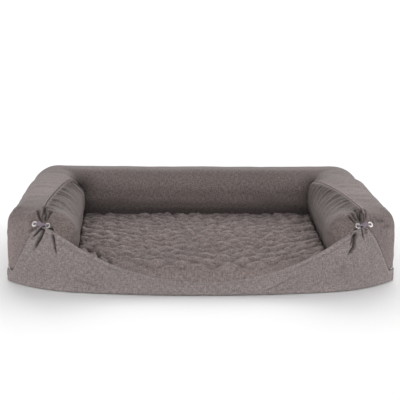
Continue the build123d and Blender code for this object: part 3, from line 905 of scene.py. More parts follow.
# Painted shade and painted light across the front panel's edges: beside the
# arms' outer panels, and along the wings
SLANTED_SHADES = ((0.75, 0.0, 3.0), (-0.45, 8.0, 4.0))
WING_SHADES = ((0.25, 11.0, 2.0), (-0.2, 4.5, 3.0))
# How full an arm's outer shoulder is, by height
SHOULDER_SECTION = ((6.8, 188, 20), (-4.0, 148, 20))
# Runs between which an arm's seam starts, past the gather
SEAM_START = (12, 40)


def places_on(obj):
    """Points of an arm's panel, their normals, and what arm_panel stored."""
    kept = [stored(obj, name) for name in ("seam_distance", "foot_distance", "seam_run")]
    return coordinates(obj), normals(obj), *kept


def shape_outer(obj):
    """Seams, hem, gather and folds, and the fullness of the arm's shoulder."""
    points, outward, distance, foot, run = places_on(obj)
    side = np.sign(points[:, 0])
    front, z = -points[:, 1], points[:, 2]
    sideways = outward[:, 0] * side
    loose = rise(distance, 0, 30) * rise(foot, 0, 30)
    loose *= rise(JOINT_Y + front, 0, 40)
    relief = slow_waves(points, 1.0) * loose
    relief += 0.5 * noise(points * [0.5, 1, 1], 38, 54) * loose
    folds, shadow = fold_relief(points, outward)
    relief += folds + gather_relief(points)
    shoulder = ridges(z, SHOULDER_SECTION) * rise(sideways, 0.05, 0.5)
    relief += shoulder * rise(JOINT_Y + front, 0, 120)
    sewn = rise(run, *SEAM_START)
    relief += ridges(distance, ARM_SEAM) * sewn
    tucked = tuck(points[:, 0]) * (points[:, 1] < CORNER_Y) * (foot < 40)
    relief += ridges(foot - tucked, OUTER_HEM) - 0.7 * tucked * fade(foot, 1.5, 6.5)
    # Painted highlight beside the arm's seam, and painted shade on the seam line
    seam_highlight = np.where(side > 0, 1.25, 0.3) * ridge(distance, 4.0, 2.9)
    shadow += (0.5 * ridge(distance, 0.0, 1.6) - seam_highlight) * sewn
    # Painted shade along the lower seam beside the front panel
    shadow += np.where(side > 0, 0.6, 0.25) * ridge(foot - tucked, 0.0, 2.0) * (z > 40)
    # Painted shade over the arm's top, more on the left
    crest_shade = np.where(side < 0, 0.34 * ridge(z, 198, 22), 0.15 * ridge(z, 184, 26))
    shadow += crest_shade * rise(front, 60, 200)
    # Painted light low on the outer wall near the front
    shadow -= 0.14 * fade(z, 50, 150) * rise(front, 200, 280)
    # Painted light on the faces that look outward to the sides
    side_light = np.where(side < 0, 0.30, 0.16) * rise(sideways, 0.5, 0.95)
    shadow -= side_light * rise(front, -150, 50)
    move_out(obj, relief * eyelet_guard(points), outward, shadow)
    pinch_corner(obj)


def shape_inner(obj, side):
    """Puckers hang from the arm's seam, where the inner panel is gathered. The
    wall overhangs, and tucks in above the quilt."""
    points, outward, distance, foot, run = places_on(obj)
    y = points[:, 1]
    back = JOINT_Y - y
    lean = run + 0.35 * distance
    wobble = 9.0 * noise(np.stack([run, 0.5 * distance], axis=1), 130, 61 + side)
    lively = 1 + 0.45 * noise(np.stack([run, 0 * run], axis=1), 90, 63 + side)
    wide = np.cos(2 * math.pi * (lean + wobble) / 43.0)
    fine = np.cos(2 * math.pi * (lean + 0.5 * wobble) / 17.0 + 1.0)
    hang = rise(distance, 2, 16)
    puckers = 2.6 * lively * (wide - 0.25) * ridge(distance, 0, 62.0) * hang
    puckers += 2.0 * fine * np.exp(-distance / 24.0) * hang
    sewn = rise(run, *SEAM_START)
    relief = puckers * rise(run, 10, 45) + ridges(distance, INNER_SEAM) * sewn
    relief += slow_waves(points, 1.6) * rise(distance, 5, 40)
    crinkle = noise(np.stack([run, 0.45 * foot], axis=1), 36, 65 + side)
    overhang = rise(foot, 8, 58) * fade(foot, 80, 160)
    relief += (1.8 * crinkle * ridge(foot, 22, 26) + 9.0 * overhang) * rise(y, -350, -300)
    folds, shadow = fold_relief(points, outward)
    relief += folds + gather_relief(points)
    relief -= 2.0 * ridge(back, 0, 2.5)
    # Painted highlight beside the arm's seam, and painted shade on the seam line
    seam_highlight = (0.95 if side < 0 else 0.75) * ridge(distance, 3.4, 2.6)
    shadow += (0.6 * ridge(distance, 0.0, 1.6) - seam_highlight) * sewn
    # Painted shade in the puckers' hollows, along the wall's foot above the quilt, and near the
    # seam
    shadow += 0.4 * np.clip(-puckers / 3.0, 0, 1) * ridge(distance, 14, 16)
    shadow += 0.5 * fade(foot, 14, 60) * rise(y, -330, -60)
    shadow += 0.13 * fade(distance, 30, 90)
    plan = points[:, :2] * [side, 1]
    buried = fade(outer_inset(plan), 4, 24)
    buried *= rise(panel_edge_height(points[:, 0]) - points[:, 2], 2, 16)
    relief -= 16.0 * buried
    full = side * rise(y, -60, 140) * ridge(points[:, 2], 184, 26)
    relief += 8.0 * full * rise(distance, 0, 14) * rise(back, 4, 50)
    move_out(obj, relief * eyelet_guard(points), outward, shadow)
    pinch_corner(obj)


def pinch_corner(obj):
    """The cloth is drawn in where the left arm meets the back. Painted shade
    darkens that corner, and the one where the right arm meets the back."""
    points = coordinates(obj)
    drawn = ridge(np.linalg.norm(points - LEFT_NOOK, axis=1), 0, 34.0)
    dark = ridge(np.linalg.norm(points - RIGHT_NOOK, axis=1), 0, 30.0)
    set_coordinates(obj, points + drawn[:, None] * [-7.0, 3.0, -13.0])
    store(obj, "shadow", np.clip(stored(obj, "shadow") + 0.85 * drawn + 0.6 * dark, -1, 1))


def shape_back(obj):
    """The hem, the full corners, and an inner face that leans over the quilt."""
    points, outward = coordinates(obj), normals(obj)
    x, y, z = points[:, 0], points[:, 1], points[:, 2]
    relief = slow_waves(points, 0.8) * rise(z, COVER_BOTTOM, COVER_BOTTOM + 20)
    relief *= rise(y - JOINT_Y, 0, 40)
    inward = rise(-outward[:, 1], 0.1, 0.6)
    wave = 0.8 * noise(points[:, [0, 2]] * [0.4, 1], 60, 71)
    relief += inward * (12.0 + wave) * rise(z, 76, 128) * fade(z, 150, 200)
    outside = rise(outward[:, 1] + np.abs(outward[:, 0]) * (y > 150), 0.1, 0.6)
    rear_corner = ridge(np.hypot(np.abs(x) - 470, y - 335), 0, 50.0)
    relief += 4.0 * rear_corner * rise(z, 150, 195)
    relief += outside * ridges(z - COVER_BOTTOM, BACK_HEM)
    # Painted shade at the inner face's foot above the quilt, and near the corners beside the arms
    facing = (np.abs(y - INNER_CORNER[1]) < 20) & (outward[:, 1] < -0.3)
    shadow = facing * 0.7 * fade(z, 82, 116)
    reach = np.where(x < 0, 34.0, 18.0)
    corner = np.exp(-(INNER_CORNER[0] - np.abs(x)) / reach) * fade(z, 150, 190)
    shadow = np.maximum(shadow, facing * 0.7 * np.minimum(corner, 1))
    move_out(obj, relief, outward, shadow)
    pinch_corner(obj)


def shape_front(obj):
    """Waves, folds, hems and pleats on the panel's face. Its rear strip is
    pushed in behind both gathers, out of the pleats' way."""
    points, outward = coordinates(obj), normals(obj)
    x, z = points[:, 0], points[:, 2]
    apart = np.abs(x)
    top = panel_edge_height(x)
    down = top - z
    outside = outward[:, 1] < -0.2
    relief = 1.8 * noise(points, 150, 81) + 0.9 * noise(points, 60, 82)
    relief *= outside * rise(z, 2, 16) * rise(down, -2, 14)
    folds, shadow = fold_relief(points, outward)
    top_guard = np.where(apart < 424, rise(down, 0, 9), 1.0)
    relief += np.where(outside, folds, 0.0) * top_guard
    relief += gather_relief(points) * fade(outward[:, 1], -0.2, 0.4)
    behind = rise(outward[:, 1], 0.2, 0.7) * rise(apart, 376, 398)
    relief += 15.0 * behind * rise(down, 1, 12)
    puckers = noise(np.stack([x, 0.2 * z], axis=1), 20, 83) * ridge(down, 12.0, 9.0)
    relief += (ridges(down, PANEL_TOP_HEM) + 0.9 * puckers) * (apart < 405) * outside
    relief += ridges(z, PANEL_FOOT_HEM) * outside
    shadow *= outside * top_guard
    # Painted shade and painted light along the slanted edges and the wings, and painted light low
    # on the face near the floor
    slanted = np.where(x > 0, 1.0, 0.35) * rise(apart, 424, 436)
    wing = rise(apart, 170, 260) * fade(apart, 400, 420)
    shades = ridges(down, SLANTED_SHADES) * slanted + ridges(down, WING_SHADES) * wing
    shadow += (shades - 0.22 * fade(z, 8, 40)) * outside
    move_out(obj, relief * eyelet_guard(points), outward, shadow)


# Padding --------------------------------------------------------------------

CLOTH = {
    "vertex_group_mass": "held",
    "quality": 4,
    "mass": 0.25,
    "tension_stiffness": 6,
    "compression_stiffness": 6,
    "shear_stiffness": 3,
    "bending_stiffness": 0.4,
    "use_pressure": True,
    "uniform_pressure_force": 2.0,
}
CLOTH_FRAMES = 20
SWELL_LIMIT = 3.0


def swell(obj, held):
    """Blows the cloth up gently between the places where it is held. No point
    moves further than SWELL_LIMIT."""
    before = coordinates(obj)
    group = obj.vertex_groups.new(name="held")
    for index in np.nonzero(held > 0.5)[0].tolist():
        group.add([index], 1.0, "REPLACE")
    modifier = obj.modifiers.new("padding", "CLOTH")
    for key, value in CLOTH.items():
        setattr(modifier.settings, key, value)
    modifier.settings.effector_weights.gravity = 0
    modifier.collision_settings.use_collision = False
    modifier.point_cache.frame_start = 1
    modifier.point_cache.frame_end = CLOTH_FRAMES
    scene = bpy.context.scene
    for frame_number in range(1, CLOTH_FRAMES + 1):
        scene.frame_set(frame_number)
    evaluated = obj.evaluated_get(bpy.context.evaluated_depsgraph_get())
    moved = coordinates(evaluated) - before
    obj.modifiers.clear()
    obj.vertex_groups.clear()
    scene.frame_set(1)
    length = np.linalg.norm(moved, axis=1, keepdims=True)
    share = np.tanh(length / SWELL_LIMIT) * SWELL_LIMIT / np.maximum(length, 1e-9)
    set_coordinates(obj, before + moved * share)


# Base, zip, lacing and stitches ---------------------------------------------

CHAIN_INSET = 5.7
CHAIN_HEIGHT = 30.0
CHAIN_FRONT_Y = -234.0
TOOTH_PITCH = 2.4
TOOTH_HEIGHT = 2.5
CHAIN_SLIT = 0.6
CHAIN_END = 3.5
TOOTH_SIZE = (TOOTH_HEIGHT / 2, 0.62, 0.78)
TAPE_FRONT_Y = CHAIN_FRONT_Y - 24
TAPE_INSETS = (5.4, 5.52, 5.4, 5.52, 5.4)
TAPE_THICKNESS = 0.6
TRAY_TOP = 25.0
TRAY_FRONT_Y = -250.0
TRAY_BOTTOM = 0.9
TRAY_EDGE = 2.4
TRAY_WALL_THICKNESS = 1.6
TRAY_BOTTOM_THICKNESS = 0.8
STATION_STEP = 5.0
STITCH_PITCH = 4.6
STITCH_LENGTH = 3.2
THREAD_RADIUS = 0.45
STITCH_REACH = 12 * MM
PLAIT_POINTS = 150
PLAIT_TURNS = 7


def side_stations(y_front):
    """Stations from a place on the right side round to the middle of the back."""
    first = JOINT_STATION + (y_front - JOINT_Y)
    return np.linspace(first, BACK_STATION, int((BACK_STATION - first) / STATION_STEP) + 1)


def strip(name, y_front, profile, thickness):
    """A band from y_front round the back: profile gives its insets and heights."""
    insets, heights = np.array(profile, float).T
    plan = outer_at(side_stations(y_front)[:, None], insets)
    sections = round_the_back(with_heights(plan, heights))
    along, across = lengths_along(sections[:, 0]), lengths_along(profile)
    uv = np.stack(np.meshgrid(along, across, indexing="ij"), axis=-1)
    obj = make_mesh(name, sections, grid_faces(len(sections), len(insets)), uv)
    thicken(obj, thickness)
    return obj


def tray_bottom(rings=8):
    """The base cloth under the mattress, flat on the floor."""
    x = np.arange(0, BOW_END_X, 12.0)
    stations = np.append(np.arange(2.0, BACK_STATION, 12.0), BACK_STATION)
    right = np.concatenate([np.stack([x, front_at(x) + 3.2], axis=1), outer_at(stations, 3.0)])
    outline = np.concatenate([right, right[::-1][1:-1] * [-1, 1]])
    shares = np.linspace(1, 0, rings + 1)[:-1]
    heights = np.where(shares < 1, TRAY_BOTTOM, TRAY_EDGE)[:, None]
    points = with_heights(outline * shares[:, None, None], heights).reshape(-1, 3)
    points = np.concatenate([points, [[0, 0, TRAY_BOTTOM]]])
    count = len(outline)
    last = (rings - 1) * count
    faces = tube_faces(rings, count)
    faces += [[last + i, last + (i + 1) % count, len(points) - 1] for i in range(count)]
    obj = make_mesh("base_cloth_bottom", points, faces, points[:, :2])
    thicken(obj, TRAY_BOTTOM_THICKNESS)
    return obj


def many(name, parts):
    """One mesh of many small parts, each a list of points and one of faces."""
    vertices, faces, start = [], [], 0
    for points, part_faces in parts:
        vertices.append(points)
        faces += [[start + i for i in face] for face in part_faces]
        start += len(points)
    return make_mesh(name, np.concatenate(vertices), faces)


BEAD_RING = [(0.0, 1.0), (0.87, 0.5), (0.87, -0.5), (0.0, -1.0), (-0.87, -0.5), (-0.87, 0.5)]
BEAD_PROFILE = [(-1.0, 0.35), (-0.82, 0.85), (0.0, 1.0), (0.82, 0.85), (1.0, 0.35)]
BEAD_FACES = tube_faces(5, 6) + [[5, 4, 3, 2, 1, 0], [24, 25, 26, 27, 28, 29]]


def bead(centre, along, width_way, half_length, half_width, half_thickness):
    """A small capsule: five rings of six points, with both ends closed."""
    thick_way = np.cross(along, width_way)
    points = []
    for place, size in BEAD_PROFILE:
        for a, b in BEAD_RING:
            offset = width_way * (a * half_width * size) + thick_way * (b * half_thickness * size)
            points.append(centre + along * (place * half_length) + offset)
    return np.array(points), BEAD_FACES


def zip_teeth():
    """The two rows of the zip's coil, set half a tooth apart."""
    length = BACK_STATION - JOINT_STATION + JOINT_Y - CHAIN_FRONT_Y - CHAIN_END
    count = int(length / TOOTH_PITCH)
    parts = []
    for k in range(-count, count + 1):
        for row in (-1, 1):
            run = k * TOOTH_PITCH + (TOOTH_PITCH * 0.5 if row > 0 else 0.0)
            if abs(run) > length:
                continue
            station = BACK_STATION - abs(run)
            here = outer_at(station, CHAIN_INSET)
            start = min(station, BACK_STATION - 1)
            ahead = outer_at(start + 1, CHAIN_INSET) - outer_at(start, CHAIN_INSET)
            mirror = [-1 if run < 0 else 1, 1, 1]
            way = unit(np.array([*ahead, 0.0])) * mirror
            middle = CHAIN_HEIGHT + row * (CHAIN_SLIT / 2 + TOOTH_HEIGHT / 2)
            centre = np.array([*here, middle]) * mirror
            up = np.array([0.0, 0.0, 1.0])
            parts.append(bead(centre, up, way, *TOOTH_SIZE))
    return many("zip_coil_teeth", parts)


def closed_tube(path, radius, sides):
    """Points of a tube round a closed path."""
    forward = unit(np.roll(path, -1, axis=0) - np.roll(path, 1, axis=0))
    first = unit(np.cross(forward, [0.0, 1.0, 0.0]))
    second = np.cross(forward, first)
    rings = []
    for k in range(sides):
        angle = 2 * math.pi * k / sides
        offset = math.cos(angle) * first + math.sin(angle) * second
        rings.append(path + offset * radius[:, None])
    return np.stack(rings, axis=1).reshape(-1, 3)


def lacing_band(side, sides=10):
    """A flat plait of three strands, in a loop through the two eyelets."""
    front, back, bend = 4.8, -8.3, 5.0
    corners = [(1, front, -bend, 90), (1, back, bend, 0), (-1, back, bend, -90)]
    corners.append((-1, front, -bend, 180))
    route = []
    for way, level, inward, start in corners:
        centre = np.array([way * (EYELET_REACH - bend), level + inward])
        for angle in np.radians(np.linspace(start, start - 90, 7)):
            route.append(centre + bend * np.array([math.cos(angle), math.sin(angle)]))
    route = np.array(route + [route[0]])
    lengths = lengths_along(route)
    run = np.linspace(0, lengths[-1], PLAIT_POINTS, endpoint=False)
    place = np.stack([np.interp(run, lengths, axis) for axis in route.T], axis=1)
    ahead = unit(np.roll(place, -1, axis=0) - np.roll(place, 1, axis=0))
    outward = np.stack([-ahead[:, 1], ahead[:, 0]], axis=1)
    flip = np.sign(np.sum(outward * place, axis=1))[:, None]
    outward = outward * np.where(flip == 0, 1, flip)
    a, c = place.T
    open_front = rise(c, 2.0, front) * fade(np.abs(a), 5, 14)
    spread = 1.2 + 2.9 * open_front
    radius = 1.25 + 0.95 * open_front
    wander = noise(np.stack([run, 0 * run + 50 * side], axis=1), 22, 91)
    faces = tube_faces(PLAIT_POINTS, sides, closed=True)
    if side < 0:
        faces = [face[::-1] for face in faces]
    parts = []
    for strand in range(3):
        phase = 2 * math.pi * (PLAIT_TURNS / lengths[-1] * run + strand / 3) + 0.35 * wander
        sideways = spread * np.sin(phase) + 0.8 * open_front * wander
        lift = (0.8 + 0.5 * open_front) * np.sin(2 * phase) + 1.2 * open_front
        lifted = place + outward * lift[:, None]
        path = np.stack([lifted[:, 0], sideways, lifted[:, 1]], axis=1)
        axes = np.stack([GATHER_ACROSS, GATHER_UP, GATHER_OUT])
        tube = GATHER_PLACE + closed_tube(path, radius, sides) @ axes
        parts.append((tube * [side, 1, 1], faces))
    return many(dict(SIDES)[side] + "_lacing_plait", parts)


def stitches(name, lines, surfaces):
    """Short stitches of thread along lines, laid on the cloth beneath."""
    trees = []
    for obj in surfaces:
        corners = [v.co.copy() for v in obj.data.vertices]
        polygons = [tuple(p.vertices) for p in obj.data.polygons]
        trees.append(BVHTree.FromPolygons(corners, polygons))
    parts = []
    for line in lines:
        run = lengths_along(line)
        for middle in np.arange(STITCH_PITCH / 2, run[-1] - STITCH_PITCH / 2, STITCH_PITCH):
            here, ahead = (
                np.array([np.interp(at, run, axis) for axis in line.T])
                for at in (middle, middle + 1)
            )
            found = [tree.find_nearest(Vector(here * MM), STITCH_REACH) for tree in trees]
            found = [hit for hit in found if hit[0] is not None]
            if not found:
                continue
            place, outward, _, _ = min(found, key=lambda hit: hit[3])
            outward = np.array(outward)
            way = ahead - here
            way -= outward * (way @ outward)
            if np.linalg.norm(way) < 1e-3:
                continue
            way = unit(way)
            centre = np.array(place) / MM + outward * (0.35 * THREAD_RADIUS)
            size = (STITCH_LENGTH / 2, THREAD_RADIUS, THREAD_RADIUS)
            parts.append(bead(centre, way, np.cross(way, outward), *size))
    return many(name, parts)


# Hidden fillings, made from the solids that they stand for --------------------


FILLING_VOXEL = 9.0 * MM


def filling(name, node, shrink, lump, seed):
    """A solid's own shape, made even, soft and a little smaller all round. It
    keeps clear of the gathers and of the left arm's pinched corner."""
    mesh = nodes[node].data.copy()
    mesh.materials.clear()
    obj = add_object(name, mesh)
    modify(obj, "REMESH", mode="VOXEL", voxel_size=FILLING_VOXEL)
    modify(obj, "SMOOTH", iterations=4)
    co = coordinates(obj)
    draw = shrink + lump * (1 + noise(co, 60, seed))
    draw += 18.0 * ridge(np.linalg.norm(from_gather(co), axis=1), 0, 85.0)
    draw += 20.0 * ridge(np.linalg.norm(co - LEFT_NOOK, axis=1), 0, 50.0)
    set_coordinates(obj, co - normals(obj) * draw[:, None])
    return obj


# Materials ------------------------------------------------------------------


def srgb(red, green, blue):
    out = []
    for value in (red, green, blue):
        c = value / 255
        out.append(c / 12.92 if c <= 0.04045 else ((c + 0.055) / 1.055) ** 2.4)
    return (*out, 1.0)


def shade(colour, factor):
    return (colour[0] * factor, colour[1] * factor, colour[2] * factor, 1.0)


WHITE = (1.0, 1.0, 1.0, 1.0)


class Nodes:
    """A material's node tree, with short calls to add and link nodes. A value
    may be a number, a colour or the output of another node."""

    def __init__(self, name):
        self.material = bpy.data.materials.new(name)
        self.material.use_nodes = True
        self.tree = self.material.node_tree

    def set(self, target, value):
        if isinstance(value, bpy.types.NodeSocket):
            self.tree.links.new(value, target)
        else:
            target.default_value = value

    def finish(self, values):
        """Sets the shader's inputs, and gives the material."""
        for key, value in values.items():
            self.set(self.tree.nodes["Principled BSDF"].inputs[key], value)
        return self.material

    def add(self, kind, **settings):
        node = self.tree.nodes.new("ShaderNode" + kind)
        for key, value in settings.items():
            if key in node.inputs:
                self.set(node.inputs[key], value)
            else:
                setattr(node, key, value)
        return node

    def noise(self, place, scale, detail, roughness=0.5):
        settings = {"Vector": place, "Scale": scale, "Detail": detail, "Roughness": roughness}
        return self.add("TexNoise", **settings).outputs["Fac"]

    def ramp(self, factor, stops):
        """Colours, or shades of white, between the places of the stops."""
        node = self.add("ValToRGB", Fac=factor)
        while len(node.color_ramp.elements) < len(stops):
            node.color_ramp.elements.new(0.5)
        for element, (place, colour) in zip(node.color_ramp.elements, stops):
            element.position = place
            element.color = colour if isinstance(colour, tuple) else shade(WHITE, colour)
        return node.outputs["Color"]

    def multiply(self, a, b):
        """The product of two colours."""
        node = self.add("Mix", data_type="RGBA", blend_type="MULTIPLY")
        for k, value in ((0, 1.0), (6, a), (7, b)):
            self.set(node.inputs[k], value)
        return node.outputs[2]

    def math(self, operation, a, b):
        node = self.add("Math", operation=operation)
        self.set(node.inputs[0], a)
        self.set(node.inputs[1], b)
        return node.outputs[0]

    def blend(self, a, share_a, b, share_b):
        """Two values, added up by their shares."""
        a, b = self.math("MULTIPLY", a, share_a), self.math("MULTIPLY", b, share_b)
        return self.math("ADD", a, b)

    def relief(self, height, strength, distance):
        node = self.add("Bump", Height=height, Strength=strength, Distance=distance)
        return node.outputs["Normal"]


def woven_cloth(name, colour, depth_shade=((0, 1), (1, 1)), contrast=0.5):
    """A plain weave of heathered yarn: light and dark threads, drawn out along
    warp and weft, flecks a few threads wide, and slow changes of tone. Painted
    light and shade by depth mostly darken it from the front of the bed to its
    back. The shadow attribute paints shade into folds and painted light on seams."""
    n = Nodes(name)
    place = n.add("UVMap", uv_map="cloth").outputs["UV"]
    surface = n.add("TexCoord").outputs["Object"]
    yarns = []
    for along in (0, 1):
        scale = [1 / THREAD_PITCH, 1 / THREAD_PITCH, 1]
        scale[along] /= 4.0
        mapping = n.add("Mapping", Vector=place, Scale=scale, Location=(3.7 * along, 1.3, 0))
        yarns.append(n.noise(mapping.outputs["Vector"], 0.36, 4.0, 0.7))
    fleck = n.noise(surface, 205.0, 3.0, 0.75)
    threads = n.blend(n.math("ADD", *yarns), 0.42, fleck, 0.16)
    dark, light = shade(colour, 1 - contrast), shade(colour, 1 + contrast)
    heather = n.ramp(threads, [(0.39, dark), (0.50, colour), (0.61, light)])
    slow = n.noise(surface, 7.0, 3.0, 0.55)
    tone = n.ramp(slow, [(0.3, (0.93, 0.93, 0.94, 1)), (0.7, (1.05, 1.04, 1.03, 1))])
    # Painted shade by place in the bed's depth, from the object's Y
    axes = n.add("SeparateXYZ", Vector=surface)
    depth = n.math("MULTIPLY", n.math("ADD", axes.outputs["Y"], 0.4), 1.25)
    depth_shaded = n.multiply(n.multiply(heather, tone), n.ramp(depth, depth_shade))
    # Painted shade where the shadow attribute is above 0, and painted light where it is below
    shadow = n.add("Attribute", attribute_name="shadow").outputs["Fac"]
    shadow = n.math("ADD", n.math("MULTIPLY", shadow, 0.5), 0.5)
    creases = n.ramp(shadow, [(0.0, 1.6), (0.5, 1), (1.0, (0.22, 0.21, 0.21, 1))])
    waves = []
    for direction in ("X", "Y"):
        settings = {"Scale": 0.5 / THREAD_PITCH, "Distortion": 0.8, "Detail": 1.0}
        wave = n.add("TexWave", Vector=place, bands_direction=direction, **settings)
        waves.append(wave.outputs["Fac"])
    height = n.blend(n.math("MULTIPLY", *waves), 0.5, threads, 1.4)
    return n.finish(
        {
            "Base Color": n.multiply(depth_shaded, creases),
            "Normal": n.relief(height, 0.4, 0.0008),
            "Roughness": n.ramp(threads, [(0.4, 0.82), (0.6, 0.96)]),
            "Sheen Weight": 0.06,
            "Sheen Roughness": 0.5,
            "Specular IOR Level": 0.25,
        }
    )


def finish(name, colour, scale, roughness, metallic=0.0, bump=0.2, distance=0.0004, vary=0.12):
    """A finish with fine irregularities, for metal, plastic, foam and tape."""
    n = Nodes(name)
    grain = n.noise(n.add("TexCoord").outputs["Object"], scale, 4.0, 0.6)
    low, high = max(roughness - 0.08, 0.04), min(roughness + 0.10, 1.0)
    colours = [(0.3, shade(colour, 1 - vary)), (0.7, shade(colour, 1 + vary))]
    return n.finish(
        {
            "Base Color": n.ramp(grain, colours),
            "Roughness": n.ramp(grain, [(0.35, low), (0.7, high)]),
            "Normal": n.relief(grain, bump, distance),
            "Metallic": metallic,
        }
    )


# Painted light and shade for each cloth: shades at shares of the bed's depth,
# from the front, mostly darker towards the back
COVER_DEPTH_SHADE = ((0.4, 1), (0.78, 0.76))
INNER_DEPTH_SHADE = ((0, 1.05), (0.08, 0.94), (0.18, 0.73), (0.36, 0.67), (0.78, 0.63))
QUILT_DEPTH_SHADE = ((0.0, 1.06), (0.04, 0.97), (0.1, 0.93), (0.2, 0.98), (0.4, 1.03))
QUILT_DEPTH_SHADE += ((0.5, 1.0), (0.6, 0.86), (0.71, 0.60), (0.76, 0.46))

# The inner cloth is a shaded copy of the bolster cloth and the front cloth a lit copy: painted
# shade and painted light
cover_cloth = woven_cloth("bolster_melange_cloth", srgb(118, 107, 105), COVER_DEPTH_SHADE)
shaded_inner_cloth = woven_cloth("shaded_inner_melange_cloth", srgb(113, 102, 99), INNER_DEPTH_SHADE)
lit_panel_cloth = woven_cloth("lit_front_melange_cloth", srgb(129, 120, 119))
quilt_cloth = woven_cloth("quilt_melange_cloth", srgb(120, 109, 107), QUILT_DEPTH_SHADE)
base_cloth = woven_cloth("base_cloth_weave", srgb(118, 110, 109), contrast=0.3)
fibre = finish("fibre_filling", srgb(225, 224, 220), 300, 0.95, bump=0.8, distance=0.002)
foam = finish("foam", srgb(214, 205, 180), 900, 0.9, bump=0.6, distance=0.001)
tape_weave = finish("zip_tape_weave", srgb(70, 64, 63), 1500, 0.85)
plastic = finish("zip_teeth_plastic", srgb(58, 53, 52), 400, 0.45)
steel = finish("zip_slider_metal", srgb(92, 90, 88), 700, 0.42, metallic=1.0, bump=0.1)
nickel = finish("polished_nickel", srgb(214, 209, 207), 500, 0.34, metallic=1.0, bump=0.05)
yarn = finish("lacing_yarn", srgb(126, 115, 124), 1800, 0.8, bump=0.6, vary=0.2)
thread = finish("stitching_thread", srgb(146, 135, 133), 2500, 0.75, bump=0.3)

# Build ----------------------------------------------------------------------


def dress(obj, material):
    obj.data.materials.clear()
    obj.data.materials.append(material)


def place(piece, material, slot, *replaced):
    """Every modelled piece rides on the bed."""
    dress(piece, material)
    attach(piece, "bed")
    if replaced:
        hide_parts(*replaced)


HELD_HEM = COVER_BOTTOM + 7.0


def held_places(obj, kind):
    """Where seams, hems and lacings hold a cover panel."""
    points = coordinates(obj)
    from_back = points[:, 1] - JOINT_Y
    if kind == "back":
        from_corner = np.abs(points[:, 0]) - INNER_CORNER[0], points[:, 1] - INNER_CORNER[1]
        return (points[:, 2] < HELD_HEM) | (np.abs(from_back) < 1.5) | (np.hypot(*from_corner) < 6)
    held = (stored(obj, "seam_distance") < 2) | (stored(obj, "foot_distance") < 2)
    return held | (from_back > -2) | (eyelet_guard(points) < 0.5)


covers = {}
for side, word in SIDES:
    covers[word, "outer"] = outer_panel(side)
    covers[word, "inner"] = inner_panel(side)
covers["back", "back"] = back_panel()
front = front_panel()
quilt = quilted_top()

for (word, kind), obj in covers.items():
    weld(obj)
    swell(obj, held_places(obj, kind))
    subdivide(obj)
    if kind == "outer":
        shape_outer(obj)
    elif kind == "inner":
        shape_inner(obj, 1 if word == "right" else -1)
    else:
        shape_back(obj)
    thicken(obj, COVER_THICKNESS)
    cloth = shaded_inner_cloth if kind == "inner" else cover_cloth
    place(obj, cloth, "cover_cloth", obj.name.removesuffix("_cover"))
subdivide(front)
shape_front(front)
place(front, lit_panel_cloth, "cover_cloth", "front_panel")
place(quilt, quilt_cloth, "quilted_cloth", "quilted_top")

# Each filling: its piece's name, how far it is drawn in, how lumpy it is, its
# random seed, material and slot
STUFFING = (6.0, 1.0, 31, fibre, "stuffing")
FILLINGS = {
    "left_bolster_stuffing": ("left_bolster_stuffing_fibre", *STUFFING),
    "right_bolster_stuffing": ("right_bolster_stuffing_fibre", *STUFFING),
    "back_bolster_stuffing": ("back_bolster_stuffing_fibre", *STUFFING),
    "mattress_foam": ("mattress_foam_block", 4.0, 0.5, 32, foam, "foam"),
}
for node, (name, shrink, lump, seed, material, slot) in FILLINGS.items():
    piece = filling(name, node, shrink, lump, seed)
    place(piece, material, slot, node)

# Insets and heights of the base cloth's wall and of the zip's two tapes
TRAY_PROFILE = [(1.4, 0.9), (0.3, 3.0), (0.0, 6.5), (0.1, 12.0), (0.7, 17.0), (1.9, 22.0)]
TRAY_PROFILE.append((3.0, TRAY_TOP))
TAPES = {"lower": (14.4, 26.8), "upper": (33.2, 39.6)}

tray_wall = strip("base_cloth_wall", TRAY_FRONT_Y, TRAY_PROFILE, TRAY_WALL_THICKNESS)
subdivide(tray_wall)
place(tray_wall, base_cloth, "base_cloth", "base_cloth")
bottom = tray_bottom()
place(bottom, base_cloth, "base_cloth", "base_cloth")
for word, (low, high) in TAPES.items():
    profile = list(zip(TAPE_INSETS, np.linspace(low, high, len(TAPE_INSETS))))
    tape = strip("zip_tape_weave_" + word, TAPE_FRONT_Y, profile, TAPE_THICKNESS)
    place(tape, tape_weave, "zip_tape", "zip_tape_" + word)
place(zip_teeth(), plastic, "zip_teeth", "zip_teeth_lower", "zip_teeth_upper")
for side, word in SIDES:
    place(lacing_band(side), yarn, "lacing_cord", word + "_lacing")

METALS = {"slider": steel, "pull": steel, "stops": steel, "eyelet": nickel, "washer": nickel}
for name, obj in nodes.items():
    for word, metal in METALS.items():
        if word in name and not obj.hide_render:
            dress(obj, metal)

# How far the rows of stitches are from the arms' seams, and below the front
# panel's upper and slanted edges
ARM_STITCHES = (6.6, -4.6)
EDGE_STITCHES = 10.0
SLANTED_STITCHES = 9.0

